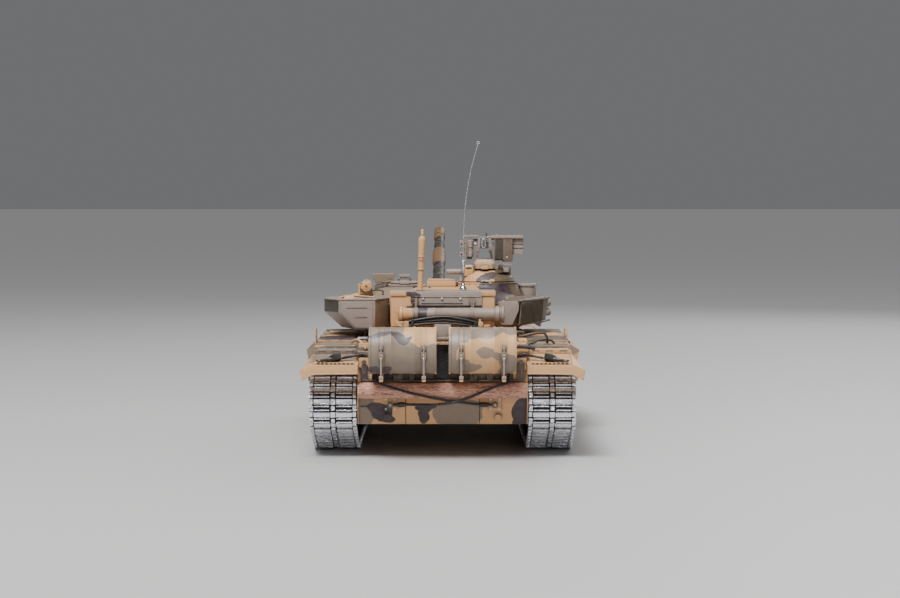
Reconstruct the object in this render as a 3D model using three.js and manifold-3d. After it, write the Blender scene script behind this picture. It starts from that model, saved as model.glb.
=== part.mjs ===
// A 1/16 scale radio-controlled main battle tank, as an assembly of separate pieces.
// Millimetres. +Y is forward, +X is the tank's right-hand side, +Z is up.
// While the pieces are laid out, z = 0 is the ground, x = 0 the tank's middle and y = 0 the middle of the hull.
// The finished group is moved along Y so that its origin is at the bottom centre of its bounding box.
import * as THREE from "three";
import { mergeVertices } from "three/addons/utils/BufferGeometryUtils.js";
import { ConvexGeometry } from "three/addons/geometries/ConvexGeometry.js";
import Module from "manifold-3d";

const wasm = await Module();
wasm.setup();

// ---------------------------------------------------------------- driving dimensions

const GAP = 0.3; // clearance between neighbouring pieces
const SIDES = [
  { name: "left", sign: -1 },
  { name: "right", sign: 1 },
];

// Running gear
const TRACK_WIDTH = 37.5;
const TRACK_OUTER_X = 105;
const TRACK_X = TRACK_OUTER_X - TRACK_WIDTH / 2;
const TRACK_PLATE = 2.4; // thickness of the links' plates
const TRACK_CLEAT = 1.6; // height of the cleats outside the plates
const TRACK_THICKNESS = TRACK_PLATE + TRACK_CLEAT;
const LINK_PITCH = 10.25;
const WHEEL_RADIUS = 23.5;
const WHEEL_WIDTH = 22;
const WHEEL_GROOVE = 7; // gap between the two discs of a wheel, for the tracks' guide horns
const WHEEL_COUNT = 6;
const WHEEL_BASE = 267; // first road wheel's axle to the last one's
const REAR_WHEEL_Y = -120;
const WHEEL_Z = TRACK_THICKNESS + GAP + WHEEL_RADIUS;
const AXLE_RADIUS = 2;
const ARM_LENGTH = 13; // swing arm, pivot to axle
const ARM_DROP = 25; // degrees that an arm slopes down from its pivot
const SPROCKET = { y: -178, z: 42, teeth: 12 };
const SPROCKET_PITCH_RADIUS = (SPROCKET.teeth * LINK_PITCH) / (2 * Math.PI);
const SPROCKET_RADIUS = SPROCKET_PITCH_RADIUS - TRACK_PLATE / 2 - GAP;
const IDLER = { y: 190, z: 43, radius: 17 };
const ROLLER = { radius: 4, z: 54, ys: [-93, 13.5, 120] };

// Hull
const HULL_HALF_WIDTH = 66.2;
const HULL_WALL = 2.5;
const BELLY_Z = 27;
const SPLIT_Z = 60; // the upper hull sits on the lower hull here
const DECK_Z = 87.5;
const HULL_REAR_Y = -199;
const HULL_NOSE_Y = 212;
const GLACIS_TOP_Y = 143;
const FENDER_Z = 67;
const FENDER_HALF_WIDTH = 110.5;
const FENDER_EDGE_X = 102; // the fender's edge slopes down from here to its full width
const GUARD_REAR = { y: -217, z: 75.3 };
const GUARD_FRONT = { y: -168, z: 80.5 };
const FENDER_BOX_TOP = 87.5;
const SKIRT = { x: TRACK_OUTER_X + 0.9, thickness: 1.5, rearY: -150, frontY: 189, bottomZ: 43 };

// Turret, about its own axis
const TURRET_Y = 15;
const TURRET_FLOOR_Z = 90;
const TURRET_ROOF_Z = 127.5;
const TURRET_RING_RADIUS = 47;
const CUPOLA = { x: 38, y: -8, z: 131.8 }; // from the turret's axis
const GUNNER_HATCH = { x: -33, y: -14, radius: 14.5 };
const STOWAGE = { rearY: -107.3, bottom: 98.2, top: 127.2 };
const SNORKEL = { radius: 5.4, y: -114, z: 108.6 };
const MG = { x: -2, y: 14, z: 32.4 }; // the machine gun's pivot from the cupola's foot

// Gun: the barrel is turned up as it stands
const GUN = { x: -4, y: 52, z: 115, elevation: 9.8 };
const BARREL_LENGTH = 318;
const BARREL_RADIUS = 5;

// Stern fittings
const DRUM = { radius: 18.4, length: 52.2, x: 30.8, y: -221, z: 87 };
const DRUM_STRAP = 16.4; // each strap's distance from the middle of its drum
const LOG = { radius: 6.4, length: 132, y: -207.6, z: 54.6 };
const HOOK = { x: 41, z: 43.2 };
const CABLE_RADIUS = 1.1;

// Underside
const BATTERY_HATCH = { x: 26, y0: -60, y1: 72 };
const SWITCH = { x: 0, y: -100, slotX: 6, slotY: 11, travel: 3 };
const WHEEL_SEGMENTS = 12;

// ---------------------------------------------------------------- solids and shapes

// A closed geometry as a manifold-3d solid.
function toSolid(geometry) {
  const bare = geometry.clone();
  bare.deleteAttribute("normal");
  bare.deleteAttribute("uv");
  const merged = mergeVertices(bare, 1e-4);
  return new wasm.Manifold(
    new wasm.Mesh({
      numProp: 3,
      vertProperties: merged.attributes.position.array,
      triVerts: new Uint32Array(merged.index.array),
    }),
  );
}

function toGeometry(solid) {
  const mesh = solid.getMesh();
  const positions = new Float32Array(mesh.numVert * 3);
  for (let i = 0; i < mesh.numVert; i++) {
    const start = i * mesh.numProp;
    positions.set(mesh.vertProperties.subarray(start, start + 3), i * 3);
  }
  const geometry = new THREE.BufferGeometry();
  geometry.setAttribute("position", new THREE.BufferAttribute(positions, 3));
  geometry.setIndex(new THREE.BufferAttribute(mesh.triVerts, 1));
  geometry.computeVertexNormals();
  return geometry;
}

const join = (...parts) => toGeometry(parts.map(toSolid).reduce((a, b) => a.add(b)));
const cut = (body, ...tools) =>
  toGeometry(tools.map(toSolid).reduce((a, b) => a.subtract(b), toSolid(body)));

// Turns the faces round if they point inwards, as a profile drawn the other way leaves them.
function facingOut(geometry) {
  if (toSolid(geometry).volume() >= 0) return geometry;
  geometry.deleteAttribute("normal");
  geometry.deleteAttribute("uv");
  const turned = mergeVertices(geometry, 1e-4);
  const index = turned.index.array;
  for (let i = 0; i < index.length; i += 3) {
    [index[i + 1], index[i + 2]] = [index[i + 2], index[i + 1]];
  }
  turned.computeVertexNormals();
  return turned;
}

const mirroredX = (geometry) => facingOut(geometry.scale(-1, 1, 1));

// A box from its lowest to its highest corner.
function box([x0, y0, z0], [x1, y1, z1]) {
  const shape = new THREE.BoxGeometry(x1 - x0, y1 - y0, z1 - z0);
  return shape.translate((x0 + x1) / 2, (y0 + y1) / 2, (z0 + z1) / 2);
}

// A box given for the right-hand side, or the same one on the left.
function sided(sign, [x0, y0, z0], [x1, y1, z1]) {
  return sign > 0 ? box([x0, y0, z0], [x1, y1, z1]) : box([-x1, y0, z0], [-x0, y1, z1]);
}

const TURN = {
  x: (g) => g.rotateZ(-Math.PI / 2),
  y: (g) => g,
  z: (g) => g.rotateX(Math.PI / 2),
};

// A cylinder along an axis, centred on a point.
function cylinder(axis, radius, length, [x, y, z], segments = 16, endRadius = radius) {
  const shape = new THREE.CylinderGeometry(endRadius, radius, length, segments);
  return TURN[axis](shape).translate(x, y, z);
}

// A solid of revolution about the X axis: points are [distance along X, radius].
function latheX(profile, segments) {
  const points = profile.map(([along, radius]) => new THREE.Vector2(radius, along));
  return facingOut(new THREE.LatheGeometry(points, segments)).rotateZ(-Math.PI / 2);
}

// A solid of revolution about the Z axis: points are [height, radius].
function latheZ(profile, segments) {
  const points = profile.map(([height, radius]) => new THREE.Vector2(radius, height));
  return facingOut(new THREE.LatheGeometry(points, segments)).rotateX(Math.PI / 2);
}

// A solid of revolution about the Y axis: points are [distance along Y, radius].
function latheY(profile, segments) {
  const points = profile.map(([along, radius]) => new THREE.Vector2(radius, along));
  return facingOut(new THREE.LatheGeometry(points, segments));
}

function extruded(outline, depth, holes = []) {
  const shape = new THREE.Shape(outline.map(([a, b]) => new THREE.Vector2(a, b)));
  for (const hole of holes) {
    shape.holes.push(new THREE.Path(hole.map(([a, b]) => new THREE.Vector2(a, b))));
  }
  return new THREE.ExtrudeGeometry(shape, { depth, bevelEnabled: false });
}

// An outline of [y, z] points, drawn out along X.
function prismX(outline, x0, x1, holes) {
  const turn = new THREE.Matrix4().makeBasis(
    new THREE.Vector3(0, 1, 0),
    new THREE.Vector3(0, 0, 1),
    new THREE.Vector3(1, 0, 0),
  );
  return extruded(outline, x1 - x0, holes).applyMatrix4(turn).translate(x0, 0, 0);
}

// An outline of [x, z] points, drawn out along Y.
function prismY(outline, y0, y1, holes) {
  return extruded(outline, y1 - y0, holes).rotateX(Math.PI / 2).translate(0, y1, 0);
}

// A tapered round bar from one point to another.
function rod(from, to, radius, endRadius, segments) {
  const start = new THREE.Vector3(...from);
  const reach = new THREE.Vector3(...to).sub(start);
  const shape = new THREE.CylinderGeometry(endRadius, radius, reach.length(), segments);
  shape.translate(0, reach.length() / 2, 0);
  const up = new THREE.Vector3(0, 1, 0);
  shape.applyQuaternion(new THREE.Quaternion().setFromUnitVectors(up, reach.normalize()));
  return shape.translate(...from);
}

// The smallest convex solid round a list of points.
const convex = (points) => new ConvexGeometry(points.map((p) => new THREE.Vector3(...p)));

// A round bar that follows a smooth line through points.
function bar(points, radius, sides, steps) {
  const path = new THREE.CatmullRomCurve3(points.map((p) => new THREE.Vector3(...p)));
  const corners = [];
  for (let i = 0; i < sides; i++) {
    const angle = (2 * Math.PI * i) / sides;
    corners.push(new THREE.Vector2(radius * Math.cos(angle), radius * Math.sin(angle)));
  }
  const shape = new THREE.Shape(corners);
  return new THREE.ExtrudeGeometry(shape, { steps, extrudePath: path, bevelEnabled: false });
}

// ---------------------------------------------------------------- materials and nodes

const paint = (color, roughness = 0.6, metalness = 0) => {
  return new THREE.MeshStandardMaterial({ color, roughness, metalness });
};
const MATERIALS = {
  sand: paint(0xc9a878),
  grey: paint(0x8c8275),
  olive: paint(0x5f5947),
  dark: paint(0x2a2a2b, 0.7),
  track: paint(0xb9bcc2, 0.35, 0.9),
  steel: paint(0xc8c8cc, 0.3, 1),
  wood: paint(0x9a5a44, 0.85),
  board: paint(0x1f5a34, 0.5),
  cell: paint(0x2e4f9a, 0.5),
};

function node(parent, name, geometry, material, position = [0, 0, 0]) {
  const mesh = new THREE.Mesh(geometry, MATERIALS[material]);
  mesh.name = name;
  mesh.position.set(...position);
  parent.add(mesh);
  return mesh;
}

// ---------------------------------------------------------------- tracks

// The belt round the running gear: circles in the order that the belt meets them.
const wheelYs = [];
for (let i = 0; i < WHEEL_COUNT; i++) {
  wheelYs.push(REAR_WHEEL_Y + (WHEEL_BASE * (WHEEL_COUNT - 1 - i)) / (WHEEL_COUNT - 1));
}
const BELT_CIRCLES = [
  { y: wheelYs[WHEEL_COUNT - 1], z: WHEEL_Z, r: WHEEL_RADIUS + GAP },
  { y: wheelYs[0], z: WHEEL_Z, r: WHEEL_RADIUS + GAP },
  { y: IDLER.y, z: IDLER.z, r: IDLER.radius + GAP },
  { y: SPROCKET.y, z: SPROCKET.z, r: SPROCKET_RADIUS + GAP },
];

// The belt's inner face moved outwards by an offset: arcs about the circles, joined by straight runs.
function beltOutline(offset, step) {
  const circles = BELT_CIRCLES.map((c) => ({ ...c, r: c.r + offset }));
  const normals = circles.map((a, i) => {
    const b = circles[(i + 1) % circles.length];
    const distance = Math.hypot(b.y - a.y, b.z - a.z);
    return Math.atan2(b.z - a.z, b.y - a.y) - Math.acos((a.r - b.r) / distance);
  });
  const outline = [];
  circles.forEach((circle, i) => {
    const from = normals[(i + circles.length - 1) % circles.length];
    let to = normals[i];
    while (to < from) to += 2 * Math.PI;
    const steps = Math.max(1, Math.ceil((to - from) / step));
    for (let k = 0; k <= steps; k++) {
      const angle = from + ((to - from) * k) / steps;
      outline.push([
        circle.y + circle.r * Math.cos(angle),
        circle.z + circle.r * Math.sin(angle),
      ]);
    }
  });
  return outline;
}

// Points at even distances along the belt.
function beltStations(offset, count) {
  const outline = beltOutline(offset, 0.05);
  const lengths = outline.map(([y, z], i) => {
    const [nextY, nextZ] = outline[(i + 1) % outline.length];
    return Math.hypot(nextY - y, nextZ - z);
  });
  const total = lengths.reduce((a, b) => a + b);
  const stations = [];
  let edge = 0;
  let before = 0;
  for (let i = 0; i < count; i++) {
    const target = (total * i) / count;
    while (before + lengths[edge] < target) {
      before += lengths[edge];
      edge += 1;
    }
    const [y, z] = outline[edge];
    const [nextY, nextZ] = outline[(edge + 1) % outline.length];
    const share = (target - before) / lengths[edge];
    stations.push({ y: y + (nextY - y) * share, z: z + (nextZ - z) * share });
  }
  return { stations, total };
}

const LINK_COUNT = Math.round(beltStations(TRACK_PLATE / 2, 1).total / LINK_PITCH);

// One closed belt: a flat cleat across each link, and a notch between each two.
function trackGeometry() {
  const CLEAT_SHARE = 0.7; // share of a link's length that its cleat covers
  const { stations } = beltStations(TRACK_PLATE, LINK_COUNT);
  const outer = [];
  stations.forEach(({ y, z }, i) => {
    const next = stations[(i + 1) % LINK_COUNT];
    const [linkY, linkZ] = [next.y - y, next.z - z];
    const lift = TRACK_CLEAT / Math.hypot(linkY, linkZ);
    outer.push([y, z]);
    for (const share of [0.5 - CLEAT_SHARE / 2, 0.5 + CLEAT_SHARE / 2]) {
      outer.push([y + linkY * share + linkZ * lift, z + linkZ * share - linkY * lift]);
    }
  });
  const inner = beltOutline(0, 0.3).reverse();
  return prismX(outer, -TRACK_WIDTH / 2, TRACK_WIDTH / 2, [inner]);
}

// ---------------------------------------------------------------- wheels and arms

const BORE = AXLE_RADIUS + GAP;

// Two discs with a groove between them, and a blind bore on the inner side. +X is the outer side.
function wheel(radius, hubDepth, dishRadius, grooveRadius) {
  const [half, groove] = [WHEEL_WIDTH / 2, WHEEL_GROOVE / 2];
  return latheX(
    [
      [half - hubDepth, 0],
      [half - hubDepth, dishRadius],
      [half, dishRadius + 1.5],
      [half, radius],
      [groove, radius],
      [groove, grooveRadius],
      [-groove, grooveRadius],
      [-groove, radius],
      [-half, radius],
      [-half, BORE],
      [half - 8, BORE],
      [half - 8, 0],
    ],
    WHEEL_SEGMENTS,
  );
}

const roadWheel = () => wheel(WHEEL_RADIUS, 4, 17.5, 15);
const idlerWheel = () => wheel(IDLER.radius, 4, 11.5, 10);

// Two toothed rings on a drum. The teeth reach the belt's inner face.
function sprocket() {
  const RING = 5; // width of a toothed ring
  const half = TRACK_WIDTH / 2 - 1.5;
  const outline = [];
  const step = (2 * Math.PI) / SPROCKET.teeth;
  for (let i = 0; i < SPROCKET.teeth; i++) {
    for (const [share, radius] of [
      [-0.2, SPROCKET_RADIUS - 3],
      [0, SPROCKET_RADIUS],
      [0.2, SPROCKET_RADIUS - 3],
    ]) {
      const angle = (i + share) * step;
      outline.push([radius * Math.cos(angle), radius * Math.sin(angle)]);
    }
  }
  const drum = latheX(
    [
      [half - 3, 0],
      [half - 3, 12],
      [-half + 2, 12],
      [-half + 2, BORE],
      [half - 10, BORE],
      [half - 10, 0],
    ],
    WHEEL_SEGMENTS,
  );
  const hubHole = cylinder("x", 8, 3 * TRACK_WIDTH, [0, 0, 0], 8);
  const rings = [[half - RING, half], [-half, -half + RING]].map(([x0, x1]) => {
    return cut(prismX(outline, x0, x1), hubHole);
  });
  return join(drum, ...rings);
}

// Where an arm turns in the hull, for a wheel at its place on level ground.
const ARM_SLOPE = (ARM_DROP * Math.PI) / 180;
const armPivot = (wheelY) => [
  wheelY + ARM_LENGTH * Math.cos(ARM_SLOPE),
  WHEEL_Z + ARM_LENGTH * Math.sin(ARM_SLOPE),
];

// A crank: a shaft into the hull, an arm, and an axle into the wheel. +X points out of the hull.
function swingArm() {
  const [axleY, axleZ] = [-ARM_LENGTH * Math.cos(ARM_SLOPE), -ARM_LENGTH * Math.sin(ARM_SLOPE)];
  const ARM_X = [1.2, 4.8]; // the arm lies between these distances from the hull's side
  const EYE = 4;
  const ROUND = 3; // steps round each end
  const arm = [];
  for (const [y, z, turn] of [[0, 0, -Math.PI / 2], [axleY, axleZ, Math.PI / 2]]) {
    for (let i = 0; i <= ROUND; i++) {
      const angle = ARM_SLOPE + turn + (Math.PI * i) / ROUND;
      arm.push([y + EYE * Math.cos(angle), z + EYE * Math.sin(angle)]);
    }
  }
  const shaftStart = -HULL_WALL - 2;
  const axleEnd = TRACK_X - HULL_HALF_WIDTH + 1;
  const shaft = cylinder("x", AXLE_RADIUS, 2 - shaftStart, [(2 + shaftStart) / 2, 0, 0], 8);
  const axle = cylinder("x", AXLE_RADIUS, axleEnd - 2, [(2 + axleEnd) / 2, axleY, axleZ], 8);
  return join(prismX(arm, ...ARM_X), shaft, axle);
}

// ---------------------------------------------------------------- hull

// An open tub with a hatchway in its belly and holes for the shafts.
function lowerHull() {
  const [rear, nose, half, w] = [HULL_REAR_Y, HULL_NOSE_Y, HULL_HALF_WIDTH, HULL_WALL];
  const outline = [
    [rear + 9, BELLY_Z],
    [168, BELLY_Z],
    [nose, 54],
    [nose, SPLIT_Z],
    [rear, SPLIT_Z],
    [rear, 44],
  ];
  const hollow = [
    [rear + 9 + w, BELLY_Z + w],
    [167, BELLY_Z + w],
    [nose - w, 54 + w],
    [nose - w, SPLIT_Z + 5],
    [rear + w, SPLIT_Z + 5],
    [rear + w, 45],
  ];
  const across = 3 * half;
  const holes = wheelYs.map((y) => cylinder("x", BORE, across, [0, ...armPivot(y)], 8));
  holes.push(cylinder("x", 4, across, [0, SPROCKET.y, SPROCKET.z], 10));
  holes.push(box(
    [-BATTERY_HATCH.x, BATTERY_HATCH.y0, BELLY_Z - 1],
    [BATTERY_HATCH.x, BATTERY_HATCH.y1, BELLY_Z + w + 1],
  ));
  holes.push(box(
    [SWITCH.x - SWITCH.slotX / 2, SWITCH.y - SWITCH.slotY / 2, BELLY_Z - 1],
    [SWITCH.x + SWITCH.slotX / 2, SWITCH.y + SWITCH.slotY / 2, BELLY_Z + w + 1],
  ));
  const fittings = [];
  for (const { sign } of SIDES) {
    // a bar along X, between two distances out from the hull's side
    const outboard = (radius, x0, x1, y, z, segments) => {
      return cylinder("x", radius, x1 - x0, [sign * (half + (x0 + x1) / 2), y, z], segments);
    };
    fittings.push(outboard(AXLE_RADIUS, 0, TRACK_X - half + 1, IDLER.y, IDLER.z, 8));
    fittings.push(outboard(6, -1, 5, IDLER.y, IDLER.z, 10));
    for (const y of ROLLER.ys) fittings.push(outboard(ROLLER.radius, -1, 7.5, y, ROLLER.z, 8));
    // towing pin and blanked-off stub on the stern plate
    fittings.push(cylinder("y", 1.2, 9, [sign * HOOK.x, rear - 3.2, HOOK.z], 6));
    fittings.push(cylinder("y", 2.6, 8, [sign * 43.5, rear + 5.6, 32.6], 8));
  }
  const tub = prismX(outline, -half, half);
  const inside = prismX(hollow, -half + w, half - w);
  return cut(join(cut(tub, inside), ...fittings), ...holes);
}

// The stern mudguard, right-hand side: a sloping cover, its turned-down outer edge and its rear lip.
function sternGuard() {
  const inner = HULL_HALF_WIDTH - 0.5;
  const edge = FENDER_EDGE_X;
  const wide = FENDER_HALF_WIDTH;
  const SHEET = 1.8;
  const section = (y, top, flareTop) => [
    [[inner, y, top], [inner, y, top - SHEET], [edge, y, top - SHEET], [edge, y, top]],
    [[edge - 0.1, y, top], [edge - 0.1, y, top - SHEET], [wide, y, flareTop - SHEET], [wide, y, flareTop]],
  ];
  const rear = section(GUARD_REAR.y, GUARD_REAR.z, GUARD_REAR.z - 4);
  const front = section(GUARD_FRONT.y, GUARD_FRONT.z, 71);
  const lip = prismY(
    [
      [inner, GUARD_REAR.z - 7],
      [edge, GUARD_REAR.z - 7.4],
      [wide - 0.8, GUARD_REAR.z - 11.8],
      [wide, GUARD_REAR.z - 4],
      [edge, GUARD_REAR.z],
      [inner, GUARD_REAR.z],
    ],
    GUARD_REAR.y,
    GUARD_REAR.y + SHEET,
  );
  const block = box([inner, GUARD_FRONT.y - 1, FENDER_Z], [edge, -149, GUARD_FRONT.z + 3]);
  return [convex([...rear[0], ...front[0]]), convex([...rear[1], ...front[1]]), lip, block];
}

// The bow mudguard's curve in front of the idler, as [y, z] points.
const BOW_GUARD = [
  [190, FENDER_Z],
  [190, FENDER_Z + 1.6],
  [205, FENDER_Z + 0.8],
  [216, 64],
  [222, 57],
  [223, 50],
  [221.4, 50],
  [220.6, 56.4],
  [215, 62.4],
  [204.5, FENDER_Z - 0.9],
];

// Stowage and fuel boxes along the fenders: [start, end, top].
const FENDER_BOXES = [
  [-150, -104, FENDER_BOX_TOP - 1.5],
  [-102.5, -52, FENDER_BOX_TOP],
  [-50.5, 0, FENDER_BOX_TOP],
  [1.5, 52, FENDER_BOX_TOP],
  [53.5, 104, FENDER_BOX_TOP - 3],
];

// The right-hand fender: plate, turned-down edge, guards and the boxes on it.
function fender() {
  const inner = HULL_HALF_WIDTH - 0.5;
  const parts = [
    box([inner, -190, FENDER_Z], [FENDER_HALF_WIDTH, 196, FENDER_Z + 1.6]),
    prismY(
      [
        [FENDER_EDGE_X - 3, FENDER_Z + 1],
        [FENDER_HALF_WIDTH, FENDER_Z + 1],
        [FENDER_HALF_WIDTH, FENDER_Z + 3.6],
        [FENDER_EDGE_X - 3, FENDER_Z + 8],
      ],
      GUARD_FRONT.y,
      150,
    ),
    prismX(BOW_GUARD, inner, FENDER_HALF_WIDTH),
    ...sternGuard(),
  ];
  for (const [y0, y1, top] of FENDER_BOXES) {
    parts.push(box([71, y0, FENDER_Z + 1], [FENDER_EDGE_X, y1, top]));
  }
  return join(...parts);
}

// Reactive armour bricks across the glacis, in rows up its slope.
function glacisBricks() {
  const slope = (DECK_Z - 62) / (GLACIS_TOP_Y - HULL_NOSE_Y);
  const glacisZ = (y) => 62 + slope * (y - HULL_NOSE_Y);
  const bricks = [];
  for (const [y0, y1] of [[158, 180], [182, 204]]) {
    const outline = [
      [y0, glacisZ(y0) - 1],
      [y1, glacisZ(y1) - 1],
      [y1, glacisZ(y1) + 3],
      [y0, glacisZ(y0) + 3],
    ];
    for (const [x0, x1] of [[-60, -31], [-29, -1], [1, 29], [31, 60]]) {
      bricks.push(prismX(outline, x0, x1));
    }
  }
  return bricks;
}

// The deck and glacis between the tracks, the fenders over them, and the brackets moulded on the stern.
function upperHull() {
  const z0 = SPLIT_Z + GAP;
  const w = HULL_WALL;
  const half = HULL_HALF_WIDTH + 0.5;
  const outline = [
    [HULL_REAR_Y, z0],
    [HULL_NOSE_Y, z0],
    [HULL_NOSE_Y, 62],
    [GLACIS_TOP_Y, DECK_Z],
    [-188, DECK_Z],
    [HULL_REAR_Y, DECK_Z - 3],
  ];
  const hollow = [
    [HULL_REAR_Y + w, z0 - 5],
    [HULL_NOSE_Y - 8, z0 - 5],
    [HULL_NOSE_Y - 8, 62],
    [GLACIS_TOP_Y - 1, DECK_Z - w],
    [-188, DECK_Z - w],
    [HULL_REAR_Y + w, DECK_Z - 3 - w],
  ];
  const deck = prismX(outline, -half, half);
  const inside = prismX(hollow, -half + w, half - w);
  const ring = cylinder("z", TURRET_RING_RADIUS, 20, [0, TURRET_Y, DECK_Z], 24);
  const rightFender = fender();
  const leftFender = mirroredX(fender());
  const raised = (x0, y0, x1, y1) => box([x0, y0, DECK_Z - 1], [x1, y1, DECK_Z + 1.2]);
  const additions = [
    rightFender,
    leftFender,
    ...glacisBricks(),
    raised(-50, -182, 50, -150), // radiator louvres
    raised(-50, -146, 50, -104),
    raised(-58, -98, -12, -64),
    raised(-6, -98, 58, -64),
    cylinder("z", 13, 3, [0, 118, DECK_Z + 0.8], 16), // driver's hatch
  ];
  // cradles that hold the drums off the stern
  const cradle = [
    [HULL_REAR_Y + 0.5, 62.8],
    [DRUM.y - 15, 64.2],
    [DRUM.y - 15, 67.2],
    [DRUM.y - 6, 65.6],
    [DRUM.y + 6, 65.6],
    [HULL_REAR_Y - 6, 70],
    [HULL_REAR_Y + 0.5, 78],
  ].reverse();
  for (const { sign } of SIDES) {
    for (const offset of [-DRUM_STRAP, DRUM_STRAP]) {
      const x = sign * DRUM.x + offset;
      additions.push(prismX(cradle, x - 1.2, x + 1.2));
    }
  }
  return cut(join(cut(deck, inside), ...additions), ring);
}

// A hanging skirt, with three thick armour panels leaning out at its front. +X is the outer side.
function sideSkirt() {
  const { x, thickness, rearY, frontY, bottomZ } = SKIRT;
  const top = FENDER_Z - GAP;
  const plate = [
    [rearY, top],
    [rearY, 56],
    [rearY + 14, bottomZ],
    [frontY - 10, bottomZ],
    [frontY, 56],
    [frontY, top],
  ];
  const outer = FENDER_HALF_WIDTH + 0.4;
  const panel = [
    [x + 0.8, 60],
    [x + 0.8, 44],
    [115.6, 40],
    [117, 60],
    [119.7, 71.7],
    [outer, 76.9],
    [outer, 66],
  ];
  const parts = [prismX(plate, x, x + thickness)];
  for (const y of [16, 60, 104]) parts.push(prismY(panel, y, y + 42));
  parts.push(box([outer, 18, 72], [outer + 1.2, 32, 90.5])); // width marker
  return join(...parts);
}

// ---------------------------------------------------------------- stern fittings

// A drum across the stern, with rolled rims and two raised rings.
function fuelDrum() {
  const half = DRUM.length / 2;
  const rim = [
    [-half, 0],
    [-half + 1, DRUM.radius - 2],
    [-half, DRUM.radius - 1.5],
    [-half, DRUM.radius],
  ];
  const rings = [];
  for (const x of [-9, 9]) rings.push([x - 1.5, DRUM.radius - 0.5], [x, DRUM.radius]);
  const farRim = [...rim].reverse().map(([x, r]) => [-x, r]);
  return latheX([...rim, ...rings, ...farRim], 20);
}

// Each cable starts on its own side's mudguard, goes down between the drum and the stern, hangs
// over the log, and ends at the towing pin on the other side.
const CABLE_START = [
  [-84, -204.6, 79],
  [-73, -201.6, 80.8],
  [-62, -200.9, 82.2],
  [-57, -201.2, 77],
  [-53.2, -203.6, 70.6],
  [-51.6, -209, 65.4],
  [-50.7, -212.7, 62.2],
  [-47.8, -213.9, 60.2],
];
const CABLE_OVER_LOG = {
  left: [
    [-38, -215.2, 57.2],
    [-23.5, -215.6, 53],
    [-7, -213.8, 49.3],
    [6, -210.8, 47],
    [18, -207.4, 45],
    [29.6, -204.4, 43.4],
  ],
  right: [
    [38, -215.2, 57.2],
    [24, -215.4, 51.2],
    [12, -214.2, 47],
    [4, -213.4, 45.2],
    [-6, -210.6, 43.9],
    [-17, -206.9, 43.6],
    [-29.6, -204.4, 43.4],
  ],
};

// The right-hand cable's spare length, doubled back above its start.
const CABLE_SPARE_TURN = [
  [53.2, -203.6, 70.6],
  [55.6, -201.3, 79],
  [62, -200.9, 86.2],
  [70, -200.9, 87],
  [77, -202.4, 84],
  [85, -205.1, 78.9],
];

// A steel rope with a sleeve and an eye at each end.
function towCable(side) {
  const start = side === "left" ? CABLE_START : CABLE_START.map(([x, y, z]) => [-x, y, z]);
  const route = [...start, ...CABLE_OVER_LOG[side]];
  const last = route.length - 1;
  const outward = side === "left" ? -1 : 1;
  const eyes = [
    { end: route[0], at: [outward * 96, -210.4, 78.2], axis: "z" },
    { end: route[last], at: [-outward * HOOK.x, -204.4, HOOK.z], axis: "y" },
  ];
  const parts = [bar(route, CABLE_RADIUS, 8, 35)];
  if (side === "right") parts.push(bar(CABLE_SPARE_TURN, CABLE_RADIUS, 8, 10));
  for (const { end, at, axis } of eyes) {
    const reach = new THREE.Vector3(...at).sub(new THREE.Vector3(...end));
    const neck = new THREE.Vector3(...at).addScaledVector(reach.clone().normalize(), -2.6);
    parts.push(rod(end, neck.toArray(), 2.1, 1.2, 8));
    const ring = cylinder(axis, 3.4, 2, at, 8);
    parts.push(cut(ring, cylinder(axis, 1.9, 4, at, 6)));
  }
  return join(...parts);
}

// ---------------------------------------------------------------- turret

// Rings of [height, half width, half length, shift forward] about the turret's axis.
const TURRET_RINGS = [
  [TURRET_FLOOR_Z, 64, 66, 0],
  [103, 79, 84, 4],
  [112, 78, 83, 4],
  [121, 66, 66, -2],
  [TURRET_ROOF_Z, 50, 50, -6],
];

function turretBlank(grow = 0) {
  const SEGMENTS = 18;
  const points = [];
  for (const [z, rx, ry, shift] of TURRET_RINGS) {
    let lift = 0;
    if (z === TURRET_FLOOR_Z) lift = -grow;
    if (z === TURRET_ROOF_Z) lift = grow;
    for (let i = 0; i < SEGMENTS; i++) {
      const angle = (2 * Math.PI * i) / SEGMENTS;
      points.push([
        (rx + grow) * Math.cos(angle),
        shift + (ry + grow) * Math.sin(angle),
        z + lift,
      ]);
    }
  }
  return convex(points);
}

// Wedge-shaped armour boxes round the front quarters, and the dazzler lamps beside the gun.
function frontArmour() {
  const parts = [];
  for (const { sign } of SIDES) {
    for (const turn of [24, 43, 62]) {
      const wedge = prismX([[60, 99], [68, 99], [93, 106], [93, 109], [66, 122], [60, 112]], -12.5, 12.5);
      parts.push(wedge.rotateZ((-sign * turn * Math.PI) / 180));
    }
    const x = sign > 0 ? 37 : -45;
    parts.push(box([x - 9, 80, 112], [x + 9, 93, 127]));
    parts.push(box([x - 3, 60, 112], [x + 3, 82, 118]));
  }
  return parts;
}

// The cone under the cupola.
function pedestal(grow = 0) {
  const HEIGHT = 14.3;
  const middle = [CUPOLA.x, CUPOLA.y, CUPOLA.z - HEIGHT / 2];
  return cylinder("z", 32 + grow, HEIGHT + 2 * grow, middle, 18, 25.5 + grow);
}

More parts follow.
